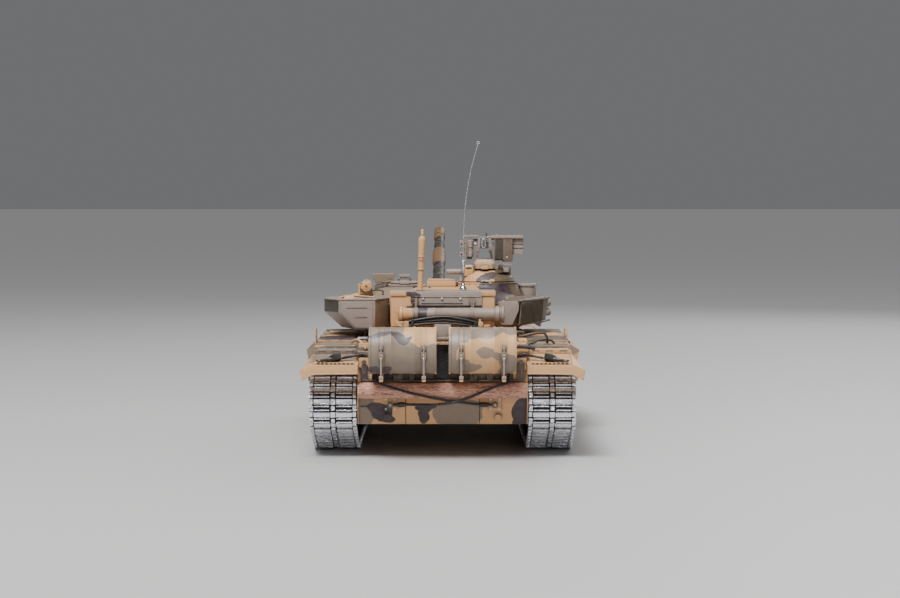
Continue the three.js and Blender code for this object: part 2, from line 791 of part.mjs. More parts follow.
// Sights, lamps and lids moulded on the roof.
function roofFittings() {
  const sightHood = [
    [-57, 12, 126], [-48, 12, 126], [-57, 30, 126], [-48, 30, 126],
    [-62, 12, 138], [-43, 12, 138], [-62, 30, 138], [-43, 30, 138],
  ];
  return [
    pedestal(),
    convex(sightHood),
    box([-60, 8, 112], [-50, 30, 127.5]),
    box([-38, 16, TURRET_ROOF_Z - 4], [-30, 26, 137]), // small sight
    box([-14, -28, TURRET_ROOF_Z - 4], [11, 0, 134]), // case ejection lid
    cylinder("z", 8.3, 16, [73, 4, 121.4], 10), // ventilator
    cylinder("z", GUNNER_HATCH.radius, 8, [GUNNER_HATCH.x, GUNNER_HATCH.y, 126], 16),
    cylinder("y", 5, 11, [-66, -26, 129], 10), // searchlight
    box([-73, -28, 121], [-71, -22, 130.5]), // searchlight's bracket
    box([-72, -26, 121], [-52, -24, 126]),
  ];
}

function turretShell() {
  const neck = cylinder("z", TURRET_RING_RADIUS - GAP * 2, 14, [0, 0, TURRET_FLOOR_Z - 5], 24);
  const gunSlot = box([GUN.x - 13, 46, 99], [GUN.x + 13, 120, 136]);
  const hollow = cylinder("z", 36, 52, [0, 0, 95], 16);
  return cut(join(turretBlank(), neck, ...frontArmour(), ...roofFittings()), gunSlot, hollow);
}

// Cuts a stowage piece back from the turret's shell.
const clearOfTurret = (piece) => cut(piece, turretBlank(GAP), pedestal(GAP));

function rearBox() {
  const body = box([-43, STOWAGE.rearY + 0.8, STOWAGE.bottom], [43, -62, STOWAGE.top - 2.6]);
  const lid = box([-43.8, STOWAGE.rearY, STOWAGE.top - 2.8], [43.8, -64, STOWAGE.top]);
  return clearOfTurret(join(body, lid));
}

// The left side bin: the outer lower corner of its stern face is cut off.
function leftBin() {
  return clearOfTurret(convex([
    [-87, -92, 119.6], [-87, -92, 108.9], [-73, -92, 94.9], [-56.6, -92, 94.9], [-56.6, -92, 119.6],
    [-44.8, -70, 119.6], [-44.8, -70, 94.9],
    [-100.5, -55, 119], [-100.5, -55, 108], [-86, -55, 94.9],
    [-97, -14, 118.5], [-97, -14, 107.5], [-84, -14, 95],
    [-60, -14, 119], [-60, -14, 95],
  ]));
}

// The right side bin: a narrow stern face, and a broad ribbed face towards the quarter.
function rightBin() {
  return clearOfTurret(convex([
    [51, -92, 118.8], [51, -92, 98.7], [63.6, -92, 118.8], [63.4, -92, 111], [58.5, -92, 98.7],
    [85, -38, 119], [85, -38, 97],
    [92, -14, 119], [89, -14, 98],
    [58, -14, 119], [58, -14, 98],
  ]));
}

// A wading tube carried across the turret's stern on two hanging straps.
function snorkelTube() {
  const r = SNORKEL.radius;
  const tube = latheX(
    [[-36, 0], [-36, r + 1], [-33, r + 1], [-33, r], [44, r], [44, r + 1.4], [50.5, r + 1.4], [50.5, 0]],
    14,
  ).translate(0, SNORKEL.y, SNORKEL.z);
  const straps = [-22, 24].map((x) => {
    return box([x - 1, SNORKEL.y + 3, SNORKEL.z], [x + 1, STOWAGE.rearY - GAP, 122]);
  });
  return join(tube, ...straps);
}

// Two bowed hoses between their end blocks, below the wading tube.
function hoseBundle() {
  const y = SNORKEL.y - SNORKEL.radius - 1.4;
  const hose = (rise, drop) => bar(
    [[-28, y, 102.6 - drop], [-14, y, 104.6 + rise / 2 - drop], [2, y, 105.2 + rise - drop],
      [17, y, 103.8 + rise / 2 - drop], [30, y, 101.4 - drop]],
    1.1,
    6,
    11,
  );
  const blocks = [
    box([-32.4, y - 1.6, 98.4], [-27, STOWAGE.rearY - GAP, 102.2]),
    box([-31, y - 1.6, 98.4], [-27, y + 1.4, 104]),
    box([29, y - 1.6, 97.4], [37, STOWAGE.rearY - GAP, 102.2]),
  ];
  return join(hose(1.4, 0), hose(-0.6, 2.4), ...blocks);
}

const windMast = () => latheZ(
  [[0, 0], [0, 2.6], [17, 2.2], [17, 3], [29, 3], [29, 2.7], [43, 3.1], [46, 2],
    [46, 1.1], [51.3, 1.1], [51.3, 0]],
  8,
);

// A chromed foot and a thin rod that bends over to its ring.
function antenna() {
  const foot = latheZ([[0, 0], [0, 2.8], [4.5, 1.3], [25, 1.3], [25, 0]], 8);
  const whip = bar(
    [[0, 0, 24], [0.4, 0, 50], [2.4, 0, 76], [6.4, 0, 100], [12.4, 0, 122.5]],
    0.5,
    6,
    10,
  );
  return join(foot, whip, cylinder("y", 1.3, 1.1, [12.6, 0, 123.2], 8));
}

// Six smoke dischargers on a plate, turned outwards. +X is the outer side.
function smokeBank() {
  const parts = [box([81.5, -4, 98], [83.5, 26, 118])];
  for (let i = 0; i < 6; i++) {
    const [row, column] = [i % 2, Math.floor(i / 2)];
    const tube = cylinder("y", 2.9, 14, [0, 7, 0], 7).rotateX(0.3).rotateZ(-0.9);
    parts.push(tube.translate(82.5, -3 + column * 10, 101 + row * 8));
  }
  return join(...parts);
}

// ---------------------------------------------------------------- gun, cupola and hatches

// The barrel lies along +Y from the trunnion: sleeve, fume extractor, sleeve and muzzle.
function gunBarrel() {
  const [r, muzzle] = [BARREL_RADIUS, BARREL_LENGTH];
  return latheY(
    [
      [12, 0], [12, r + 1.2], [56, r + 1], [58, r + 0.4], [152, r + 0.2], [156, r + 1.3],
      [206, r + 1.3], [211, r], [muzzle - 34, r - 0.4], [muzzle - 32, r + 0.2],
      [muzzle, r + 0.2], [muzzle, r - 1.8], [muzzle - 4, r - 1.8], [muzzle - 4, 0],
    ],
    14,
  );
}

// The mantlet round the barrel's root.
function gunMantlet() {
  const shield = convex([
    [-11, -3, -9], [11, -3, -9], [-11, -3, 8], [11, -3, 8],
    [-11, 6, -9], [11, 6, -9], [-11, 6, 10], [11, 6, 10],
    [-9, 30, -8.5], [9, 30, -8.5], [-9, 30, 8.5], [9, 30, 8.5],
  ]);
  return cut(shield, cylinder("y", BARREL_RADIUS + 1.2 + GAP, 60, [0, 41.5, 0], 14));
}

// The rotating drum with the machine gun's cradle cheeks and a side sight.
function cupola() {
  const drum = latheZ([[0, 0], [0, 24.3], [6, 23], [10.6, 20.6], [10.6, 0]], 20);
  const cheeks = [-1, 1].map((side) => {
    const x = MG.x + side * 6.6;
    return box([x - 0.9, MG.y - 1.8, 8], [x + 0.9, MG.y + 1.8, MG.z + 1]);
  });
  return join(drum, ...cheeks, box([-35, 0, 6.4], [-20, 5, 10.4]));
}

function commanderHatch() {
  const lid = latheZ([[0, 0], [0, 9.5], [4.5, 9.5], [7.6, 7], [7.6, 0]], 14);
  return join(lid, box([-3, -12.5, 0], [3, -8, 3]));
}

function gunnerHatch() {
  const radius = GUNNER_HATCH.radius - 2;
  const lid = latheZ([[0, 0], [0, radius], [1.4, radius], [2.6, radius - 3], [2.6, 0]], 14);
  return join(lid, box([-4, -radius - 2, 0], [4, -radius + 2, 2]));
}

// A heavy machine gun with its sight and ammunition boxes. The origin is its pivot.
function machineGun() {
  return join(
    box([-3.6, -14, -4], [3.6, 22, 4]),
    cylinder("x", 1.2, 10.4, [0, 0, 0], 8),
    cylinder("y", 1.7, 54, [0, 47, 0.5], 8),
    cylinder("y", 2.6, 7, [0, 76, 0.5], 8),
    box([-5, -16.4, -4], [5, -13.8, 5]),
    box([3, -3, 3.2], [11, 3, 5.8]), // feed tray
    box([9, -6, -15.6], [24.6, 20, 5.4]), // ammunition box
    box([24.4, -4, -10.6], [34.3, 18, 6.2]),
    box([-15.4, -4, -12], [-9.2, 12, 2.4]), // sight
    box([-10, 3, 2.2], [-3, 8, 3.9]),
    box([-18, -2, 2.2], [-6, 2.5, 7.2]),
    box([-21, -3, -11], [-15.2, 1.5, 2.4]),
  );
}

// ---------------------------------------------------------------- drive and electrics inside the hull

// Two reduction gearboxes on one frame, each with its motor and its output shaft.
function driveUnit() {
  const parts = [box([-60, -184, 30.4], [60, -160, 33])];
  const shaft = [34, TRACK_X + 5];
  for (const { sign } of SIDES) {
    parts.push(sided(sign, [36, -186, 32], [60, -154, 56]));
    parts.push(cylinder(
      "x",
      AXLE_RADIUS,
      shaft[1] - shaft[0],
      [(sign * (shaft[0] + shaft[1])) / 2, SPROCKET.y, SPROCKET.z],
      8,
    ));
    parts.push(cylinder("x", 8, 36, [sign * 20, -168, 42], 10));
  }
  return join(...parts);
}

const batteryPack = () => join(...[-12, 0, 12].map((x) => cylinder("y", 6.4, 96, [x, 6, 38], 8)));

function controlBoard() {
  return join(
    box([-34, -146, 34], [34, -108, 35.6]),
    box([-24, -140, 35.5], [-8, -124, 40]),
    box([4, -138, 35.5], [26, -128, 44]),
    box([-20, -120, 35.5], [22, -110, 42]),
    cylinder("z", 4, 12, [28, -116, 41], 8),
  );
}

function batteryCover() {
  const { x, y0, y1 } = BATTERY_HATCH;
  const plate = box([-x + GAP, y0 + GAP, BELLY_Z - 0.6], [x - GAP, y1 - GAP, BELLY_Z + 1.8]);
  const screw = (y) => cylinder("z", 3, 3.4, [0, y, BELLY_Z + 1.4], 8);
  return join(plate, screw(y0 + 9), screw(y1 - 9));
}

function powerSwitch() {
  return join(box([-2.2, -2.5, -1.6], [2.2, 2.5, 5]), box([-5, -4.5, 3.2], [5, 4.5, 5]));
}

// ---------------------------------------------------------------- assembly

const tank = new THREE.Group();

const hull = new THREE.Group();
tank.add(hull);
node(hull, "lower_hull", lowerHull(), "grey");
node(hull, "upper_hull", upperHull(), "sand");
node(hull, "battery_cover", batteryCover(), "grey");
node(hull, "battery_pack", batteryPack(), "cell");
node(hull, "control_board", controlBoard(), "board");
node(hull, "drive_unit", driveUnit(), "steel");
node(hull, "power_switch", powerSwitch(), "dark", [SWITCH.x, SWITCH.y + SWITCH.travel / 2, BELLY_Z]);
const log = cylinder("x", LOG.radius, LOG.length, [0, 0, 0], 14);
node(hull, "unditching_log", log, "wood", [0, LOG.y, LOG.z]);

for (const { name, sign } of SIDES) {
  const side = new THREE.Group();
  hull.add(side);
  const outwards = (geometry) => (sign > 0 ? geometry : mirroredX(geometry));
  const place = (title, geometry, material, position) => {
    node(side, title, outwards(geometry), material, position);
  };
  place(`track_${name}`, trackGeometry(), "track", [sign * TRACK_X, 0, 0]);
  const sprocketAt = [sign * TRACK_X, SPROCKET.y, SPROCKET.z];
  place(`drive_sprocket_${name}`, sprocket(), "olive", sprocketAt);
  place(`idler_wheel_${name}`, idlerWheel(), "olive", [sign * TRACK_X, IDLER.y, IDLER.z]);
  wheelYs.forEach((y, i) => {
    const pivot = [sign * HULL_HALF_WIDTH, ...armPivot(y)];
    place(`swing_arm_${name}_${i + 1}`, swingArm(), "dark", pivot);
    place(`road_wheel_${name}_${i + 1}`, roadWheel(), "olive", [sign * TRACK_X, y, WHEEL_Z]);
  });
  place(`side_skirt_${name}`, sideSkirt(), "grey");
  place(`fuel_drum_${name}`, fuelDrum(), "sand", [sign * DRUM.x, DRUM.y, DRUM.z]);
  node(side, `tow_cable_${name}`, towCable(name), "dark");
}

const turret = new THREE.Group();
turret.position.set(0, TURRET_Y, 0);
tank.add(turret);
node(turret, "turret_shell", turretShell(), "sand");
node(turret, "rear_stowage_box", rearBox(), "sand");
node(turret, "side_bin_left", leftBin(), "grey");
node(turret, "side_bin_right", rightBin(), "olive");
node(turret, "snorkel_tube", snorkelTube(), "grey");
node(turret, "hose_bundle", hoseBundle(), "dark");
node(turret, "wind_sensor_mast", windMast(), "sand", [-19, -92, STOWAGE.top + GAP]);
node(turret, "antenna", antenna(), "steel", [16.9, -85, STOWAGE.top + GAP]);
node(turret, "smoke_launchers_left", mirroredX(smokeBank()), "olive");
node(turret, "smoke_launchers_right", smokeBank(), "olive");
const hatchAt = [GUNNER_HATCH.x, GUNNER_HATCH.y, 130 + GAP];
node(turret, "gunner_hatch", gunnerHatch(), "grey", hatchAt);

const gun = new THREE.Group();
gun.position.set(GUN.x, GUN.y, GUN.z);
gun.rotation.x = (GUN.elevation * Math.PI) / 180;
turret.add(gun);
node(gun, "gun_barrel", gunBarrel(), "olive");
node(gun, "gun_mantlet", gunMantlet(), "sand");

const station = new THREE.Group();
station.position.set(CUPOLA.x, CUPOLA.y, CUPOLA.z + GAP);
turret.add(station);
node(station, "commander_cupola", cupola(), "sand");
node(station, "commander_hatch", commanderHatch(), "sand", [-1.8, -4, 10.6 + GAP]);
node(station, "machine_gun", machineGun(), "dark", [MG.x, MG.y, MG.z]);

// The origin goes to the bottom centre of the bounding box.
const model = new THREE.Group();
model.add(tank);
const extent = new THREE.Box3().setFromObject(tank, true);
tank.position.set(0, -(extent.min.y + extent.max.y) / 2, -extent.min.z);

export default model;
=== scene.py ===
"""The looks of a 1/16 scale radio-controlled battle tank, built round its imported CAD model.

Pieces are drawn in millimetres about the middle of the hull, with +Y forward, +X to the tank's
right and z = 0 on the ground. place() turns those points into the frame's metres.
"""

import math

import bmesh
import bpy
from mathutils import Matrix, Vector, noise


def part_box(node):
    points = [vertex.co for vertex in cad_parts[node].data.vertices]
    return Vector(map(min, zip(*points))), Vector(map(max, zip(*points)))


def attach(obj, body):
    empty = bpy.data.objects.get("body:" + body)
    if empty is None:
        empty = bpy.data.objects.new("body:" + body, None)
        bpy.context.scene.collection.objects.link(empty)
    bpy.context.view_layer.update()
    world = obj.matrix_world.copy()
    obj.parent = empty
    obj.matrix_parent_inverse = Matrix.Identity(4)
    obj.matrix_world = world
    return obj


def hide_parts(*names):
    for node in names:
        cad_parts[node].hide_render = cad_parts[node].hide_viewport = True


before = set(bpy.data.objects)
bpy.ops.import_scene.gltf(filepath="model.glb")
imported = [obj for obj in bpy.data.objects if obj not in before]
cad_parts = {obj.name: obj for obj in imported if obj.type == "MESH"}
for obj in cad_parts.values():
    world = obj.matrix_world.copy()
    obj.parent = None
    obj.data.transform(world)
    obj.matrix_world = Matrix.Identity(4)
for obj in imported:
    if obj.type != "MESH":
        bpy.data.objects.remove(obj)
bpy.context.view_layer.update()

# ------------------------------------------------------------------ driving dimensions

MM = 0.001
UP = (0, 0, 1)
DOWN = (0, 0, -1)
AFT = (0, -1, 0)
SIDES = (("left", -1), ("right", 1))
CAMERA_OFF_HULL = (2.4, -2037.0, 208.0)


def corners(node):
    """A CAD node's lowest and highest corner, in millimetres of the frame."""
    low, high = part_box(node)
    return Vector(low) / MM, Vector(high) / MM


def middle(node):
    low, high = corners(node)
    return (low + high) / 2


WHEELS = {side: [middle(f"road_wheel_{side}_{i}") for i in range(1, 7)] for side, _ in SIDES}
HULL_Y = (WHEELS["left"][0].y + WHEELS["left"][5].y) / 2 - 13.5  # the hull's middle, in the frame
WHEEL_RADIUS = (corners("road_wheel_left_1")[1].z - corners("road_wheel_left_1")[0].z) / 2
WHEEL_Z = WHEELS["left"][0].z
BELT_GAP = 0.3  # between the wheels and the belt's inner face


def own(point):
    """A point of the frame, in millimetres about the hull's middle."""
    return Vector((point.x, point.y - HULL_Y, point.z))


TRACK_X = middle("track_right").x
TRACK_PLATE = 2.4
LINK_PITCH = 10.25
SPROCKET = own(middle("drive_sprocket_left"))
IDLER = own(middle("idler_wheel_left"))
SPROCKET_RADIUS = 18.076
IDLER_RADIUS = 17.0
WHEEL_YS = [own(w).y for w in WHEELS["left"]]
DRUM = own(middle("fuel_drum_right"))
DRUM_RADIUS = 18.4
DRUM_HALF = 26.1
DRUM_STRAP = 16.4
LOG = own(middle("unditching_log"))
LOG_RADIUS = 6.4
HULL_REAR = -199.0
DECK_Z = 87.5
FENDER_Z = 67.0
FENDER_BOXES = [(-150, -104, 86), (-102.5, -52, 87.5), (-50.5, 0, 87.5), (1.5, 52, 87.5), (53.5, 104, 84.5)]
TURRET_Y = 15.0
CUPOLA = Vector((38.0, 7.0, 131.8))
TRUNNION = Vector((-4.0, 67.0, 115.0))
GUN_RISE = math.radians(9.8)
MAST_LEAN = math.radians(2.2)

# ------------------------------------------------------------------ mesh making


def place(point):
    return Vector((point[0] * MM, (point[1] + HULL_Y) * MM, point[2] * MM))


def rounded(shape, width, segments=2):
    """Rounds a shape's sharp edges."""
    if width > 0:
        sharp = [e for e in shape.edges if len(e.link_faces) == 2 and e.calc_face_angle(0) > 0.4]
        bmesh.ops.bevel(shape, geom=sharp, offset=width, segments=segments, profile=0.7,
                        affect="EDGES", clamp_overlap=True)
    return shape


def cube(low, high):
    """A plain block from its lowest to its highest corner."""
    low, high = Vector(low), Vector(high)
    shape = bmesh.new()
    spot = Matrix.Translation((low + high) / 2) @ Matrix.Diagonal((*(high - low), 1))
    bmesh.ops.create_cube(shape, size=1, matrix=spot)
    return shape


def box(low, high, edge=0.3):
    """A block with rounded edges."""
    return rounded(cube(low, high), edge)


def pair(sign, near, far):
    """Two distances from the middle line, on one side of it, in rising order."""
    return sorted((sign * near, sign * far))


def side_box(sign, low, high, edge=0.3):
    """A block that is given for the right-hand side, or its mirror image where sign is -1."""
    x0, x1 = pair(sign, low[0], high[0])
    return box((x0, *low[1:]), (x1, *high[1:]), edge)


def transformed(shape, matrix):
    """The shape itself, after a transform."""
    shape.transform(matrix)
    return shape


def facing(centre, direction):
    """The matrix that takes something drawn about +Z to a centre, pointing in a direction."""
    return Matrix.Translation(centre) @ Vector(direction).to_track_quat("Z", "Y").to_matrix().to_4x4()


def circle(count, phase=0.0):
    """The cosines and sines of even turns."""
    angles = [2 * math.pi * (k + phase) / count for k in range(count)]
    return [(math.cos(a), math.sin(a)) for a in angles]


def skin(shape, rings):
    """Faces between each ring of vertices and the next. A ring of one vertex is a pole."""
    for one, two in zip(rings, rings[1:]):
        count = max(len(one), len(two))
        for i in range(count):
            a, b = one[i % len(one)], one[(i + 1) % len(one)]
            c, d = two[(i + 1) % len(two)], two[i % len(two)]
            face = list(dict.fromkeys((a, b, c, d)))
            if len(face) > 2:
                shape.faces.new(face)


PLANES = {"x": (1, 2, 0), "y": (0, 2, 1), "z": (0, 1, 2)}


def prism(axis, outline, start, end, edge=0.3):
    """An outline in the plane across an axis, drawn out along it, with rounded edges."""
    first, second, along = PLANES[axis]
    shape = bmesh.new()
    ends = []
    for distance in (start, end):
        ring = []
        for a, b in outline:
            point = [0.0, 0.0, 0.0]
            point[first], point[second], point[along] = a, b, distance
            ring.append(shape.verts.new(point))
        ends.append(ring)
    near, far = ends
    shape.faces.new(near)
    shape.faces.new(far[::-1])
    for i, vertex in enumerate(near):
        following = (i + 1) % len(near)
        shape.faces.new((near[following], vertex, far[i], far[following]))
    bmesh.ops.recalc_face_normals(shape, faces=shape.faces)
    return rounded(shape, edge)


def lathe(axis, profile, centre=(0, 0, 0), segments=40, edge=0.0):
    """A solid of revolution: the profile's points are (distance along the axis, radius)."""
    first, second, along = PLANES[axis]
    shape = bmesh.new()
    rings = []
    for distance, radius in profile:
        if rings and (distance, radius) == profile[0]:
            rings.append(rings[0])
            break
        ring = []
        for c, s in circle(segments) if radius > 0 else [(1, 0)]:
            point = list(centre)
            point[first] += radius * c
            point[second] += radius * s
            point[along] += distance
            ring.append(shape.verts.new(point))
        rings.append(ring)
    skin(shape, rings)
    bmesh.ops.recalc_face_normals(shape, faces=shape.faces)
    return rounded(shape, edge)


def round_bar(axis, start, end, radius, centre=(0, 0, 0), segments=40, edge=0.0):
    """A plain round bar along an axis."""
    return lathe(axis, [(start, 0), (start, radius), (end, radius), (end, 0)], centre, segments, edge)


def hull(points, edge=0.4):
    """The smallest convex solid round some points, with rounded edges."""
    shape = bmesh.new()
    for point in points:
        shape.verts.new(point)
    bmesh.ops.convex_hull(shape, input=shape.verts)
    loose = [v for v in shape.verts if not v.link_faces]
    bmesh.ops.delete(shape, geom=loose, context="VERTS")
    bmesh.ops.dissolve_limit(shape, angle_limit=0.02, verts=shape.verts, edges=shape.edges)
    bmesh.ops.recalc_face_normals(shape, faces=shape.faces)
    return rounded(shape, edge)


def curve_through(points, count):
    """Points at even steps on a smooth line through some points."""
    points = [Vector(p) for p in points]
    padded = [2 * points[0] - points[1], *points, 2 * points[-1] - points[-2]]
    dense = []
    for a, b, c, d in zip(padded, padded[1:], padded[2:], padded[3:]):
        for i in range(24):
            t = i / 24
            dense.append(0.5 * (2 * b + (c - a) * t + (2 * a - 5 * b + 4 * c - d) * t ** 2
                                + (3 * b - a - 3 * c + d) * t ** 3))
    dense.append(points[-1])
    reach = [0.0]
    for a, b in zip(dense, dense[1:]):
        reach.append(reach[-1] + (b - a).length)
    route, at = [], 0
    for i in range(count + 1):
        target = reach[-1] * i / count
        while at < len(dense) - 2 and reach[at + 1] < target:
            at += 1
        share = (target - reach[at]) / max(reach[at + 1] - reach[at], 1e-9)
        route.append(dense[at].lerp(dense[at + 1], min(share, 1.0)))
    return route


def frames_along(route):
    """A direction and two directions across it at each point of a route, without twist."""
    across = (route[1] - route[0]).orthogonal().normalized()
    result = []
    for i, point in enumerate(route):
        along = (route[min(i + 1, len(route) - 1)] - route[max(i - 1, 0)]).normalized()
        across = (across - along * across.dot(along)).normalized()
        result.append((point, along, across, along.cross(across)))
    return result


def tube(route, radius, sides=10):
    """A round bar along a route. The radius may be a function of the share of its length."""
    shape = bmesh.new()
    rings = []
    for i, (point, _, one, two) in enumerate(frames_along([Vector(p) for p in route])):
        r = radius(i / (len(route) - 1)) if callable(radius) else radius
        rings.append([shape.verts.new(point + (one * c + two * s) * r) for c, s in circle(sides)])
    skin(shape, rings)
    shape.faces.new(rings[0][::-1])
    shape.faces.new(rings[-1])
    bmesh.ops.recalc_face_normals(shape, faces=shape.faces)
    return shape


def bent_bar(points, count, radius, sides=10):
    """A round bar that runs smoothly through some points."""
    return tube(curve_through(points, count), radius, sides)


def dome(centre, direction, radius, height=0.5, sides=8):
    """A rivet or screw head: a low dome that faces a direction."""
    profile = [(-0.2, radius), (height * 0.6, radius * 0.85), (height, radius * 0.4), (height, 0)]
    return transformed(lathe("z", profile, segments=sides), facing(centre, direction))


def bolt(centre, direction, radius, height=0.8):
    """A six-sided bolt head on its washer."""
    shape = lathe("z", [(-0.2, radius * 1.35), (0.25, radius * 1.35), (0.25, 0)], segments=14)
    add_to(shape, lathe("z", [(0, radius), (height, radius), (height, 0)], segments=6, edge=radius * 0.12))
    return transformed(shape, facing(centre, direction))


def add_to(shape, other):
    """Adds one shape's mesh to another's."""
    carrier = bpy.data.meshes.new("carrier")
    other.to_mesh(carrier)
    other.free()
    shape.from_mesh(carrier)
    bpy.data.meshes.remove(carrier)


class Piece:
    """A named mesh that collects shapes, each with a material."""

    def __init__(self, name):
        self.name = name
        self.mesh = bmesh.new()
        self.materials = []

    def add(self, material, *shapes):
        if material not in self.materials:
            self.materials.append(material)
        for shape in shapes:
            for face in shape.faces:
                face.material_index = self.materials.index(material)
            add_to(self.mesh, shape)

    def finish(self, body, slot, *nodes, turn=None, smooth=40):
        """Puts the piece in the frame, on a body, in place of some CAD nodes."""
        if turn is not None:
            self.mesh.transform(turn)
        for vertex in self.mesh.verts:
            vertex.co = place(vertex.co)
        data = bpy.data.meshes.new(self.name)
        self.mesh.to_mesh(data)
        self.mesh.free()
        data.shade_smooth()
        data.set_sharp_from_angle(angle=math.radians(smooth))
        for material in self.materials:
            data.materials.append(material)
        made = bpy.data.objects.new(self.name, data)
        bpy.context.scene.collection.objects.link(made)
        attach(made, body)
        if nodes:
            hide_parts(*nodes)
        return made


# ------------------------------------------------------------------ materials


SOCKETS = {"metallic": "Metallic", "specular": "Specular IOR Level", "coat": "Coat Weight"}


class Finish:
    """Short calls that build one material's nodes. Lengths are in millimetres."""

    def __init__(self, name):
        self.material = bpy.data.materials.new(name)
        self.material.use_nodes = True
        self.tree = self.material.node_tree
        self.tree.nodes.clear()
        where = self.node("ShaderNodeTexCoord").outputs["Object"]
        scaled = self.vector("MULTIPLY", where, (1 / MM,) * 3)
        self.at = self.vector("SUBTRACT", scaled, (0, HULL_Y, 0))

    def node(self, kind, inputs=None, **settings):
        made = self.tree.nodes.new(kind)
        for key, value in settings.items():
            setattr(made, key, value)
        for key, value in (inputs or {}).items():
            self.feed(made.inputs[key], value)
        return made

    def feed(self, socket, value):
        if isinstance(value, bpy.types.NodeSocket):
            self.tree.links.new(value, socket)
        elif socket.type == "RGBA" and len(value) == 3:
            socket.default_value = (*value, 1)
        else:
            socket.default_value = value

    def math(self, operation, a, b=0.0):
        return self.node("ShaderNodeMath", {0: a, 1: b}, operation=operation).outputs[0]

    def vector(self, operation, *values):
        made = self.node("ShaderNodeVectorMath", dict(enumerate(values)), operation=operation)
        return made.outputs["Value" if operation in ("LENGTH", "DOT_PRODUCT") else "Vector"]

    def spread(self, value, low, high, to_low=0.0, to_high=1.0):
        made = self.node("ShaderNodeMapRange", {"Value": value, "From Min": low, "From Max": high,
                                                "To Min": to_low, "To Max": to_high})
        return made.outputs["Result"]

    def noise(self, size, detail=3.0, at=None, stretch=(1, 1, 1)):
        """Noise whose features are about size millimetres across."""
        source = self.vector("MULTIPLY", at or self.at, stretch)
        return self.node("ShaderNodeTexNoise", {"Vector": source, "Scale": 1 / size, "Detail": detail})

    def mix(self, share, a, b, blend="MIX"):
        made = self.node("ShaderNodeMix", {0: share, 6: a, 7: b}, data_type="RGBA", blend_type=blend)
        return made.outputs[2]

    def corner(self, radius):
        """1 on sharp outer edges and 0 on flat faces, and the rounded normal."""
        bevel = self.node("ShaderNodeBevel", {"Radius": radius * MM}, samples=4)
        flat = self.node("ShaderNodeNewGeometry").outputs["Normal"]
        dot = self.vector("DOT_PRODUCT", bevel.outputs[0], flat)
        return self.spread(dot, 0.995, 0.8), bevel.outputs[0]

    def crevice(self, distance):
        """1 deep in corners and 0 in the open."""
        made = self.node("ShaderNodeAmbientOcclusion", {"Distance": distance * MM}, samples=4)
        return self.spread(made.outputs["AO"], 0.85, 0.35)

    def shader(self, colour, roughness, height=None, bump=0.1, normal=None, **values):
        """The principled shader. Plain values are set on its own sockets."""
        inputs = {"Base Color": colour, "Roughness": roughness}
        if height is not None:
            relief = {"Height": height, "Strength": bump, "Distance": 0.5 * MM}
            if normal is not None:
                relief["Normal"] = normal
            inputs["Normal"] = self.node("ShaderNodeBump", relief).outputs[0]
        surface = self.node("ShaderNodeBsdfPrincipled", inputs)
        for key, value in values.items():
            surface.inputs[SOCKETS[key]].default_value = value
        output = self.node("ShaderNodeOutputMaterial")
        self.tree.links.new(surface.outputs[0], output.inputs["Surface"])
        return self.material


SAND = (0.58, 0.32, 0.14)
GREY = (0.205, 0.15, 0.105)
PLUM = (0.034, 0.019, 0.026)
OLIVE = (0.095, 0.064, 0.036)
# painted shade: the gun's olive and plum are darker copies of the camouflage, for the dim light on the gun
SHADED_GUN_OLIVE = (0.020, 0.016, 0.011)
SHADED_GUN_PLUM = (0.020, 0.012, 0.018)
DUST = (0.50, 0.38, 0.27)
# painted shade: a near-black brown that darkens paint in its corners and crevices, where shade falls
CREVICE_SHADE = (0.028, 0.021, 0.015)
BARE = (0.66, 0.52, 0.40)
QUARTER_SHADE = (0.028, 0.020, 0.012)
DUST_SHARE = 0.08  # at most, on open paint
CREVICE_SHADE_SHARE = 0.92  # at most, in paint's corners
CREVICE_SHADE_REACH = 3.4


def painted(name, base=SAND, patches=(), scatter=None, wear=0.5, gloss=0.5):
    """Camouflage paint: patches are (colour, centre, radii), and scatter is the size of random ones."""
    f = Finish(name)
    wander = f.noise(17, 2.0).outputs["Color"]
    centred = f.vector("SUBTRACT", wander, (0.5, 0.5, 0.5))
    bent = f.vector("MULTIPLY_ADD", centred, (13, 13, 13), f.at)
    colour = base
    if scatter:
        for tint, offset, level in ((GREY, 0, 0.53), (PLUM, 300, 0.60), (SAND, 700, 0.63)):
            moved = f.vector("ADD", bent, (offset,) * 3)
            cloud = f.noise(scatter, 0.0, moved).outputs["Fac"]
            colour = f.mix(f.spread(cloud, level, level + 0.01), colour, tint)
    for tint, centre, radii in patches:
        inverse = tuple(1 / r for r in radii)
        shift = tuple(-c / r for c, r in zip(centre, radii))
        reach = f.vector("LENGTH", f.vector("MULTIPLY_ADD", bent, inverse, shift))
        colour = f.mix(f.spread(reach, 1.0, 0.97), colour, tint)
    mottle = f.noise(6, 5.0).outputs["Fac"]
    colour = f.mix(f.spread(mottle, 0.35, 0.7, 0.0, DUST_SHARE), colour, DUST)
    grain = f.noise(0.9, 3.0).outputs["Fac"]
    edge, normal = f.corner(0.35)
    rubbed = f.math("MULTIPLY", edge, f.spread(grain, 0.42, 0.62, 0.0, wear))
    colour = f.mix(rubbed, colour, BARE)
    # painted shade in corners and crevices, from the ambient occlusion mask
    shade_mask = f.math("MULTIPLY", f.crevice(CREVICE_SHADE_REACH), CREVICE_SHADE_SHARE)
    colour = f.mix(shade_mask, colour, CREVICE_SHADE)
    roughness = f.spread(mottle, 0.3, 0.7, 0.42, 0.58)
    return f.shader(colour, roughness, grain, 0.12, normal, specular=gloss)


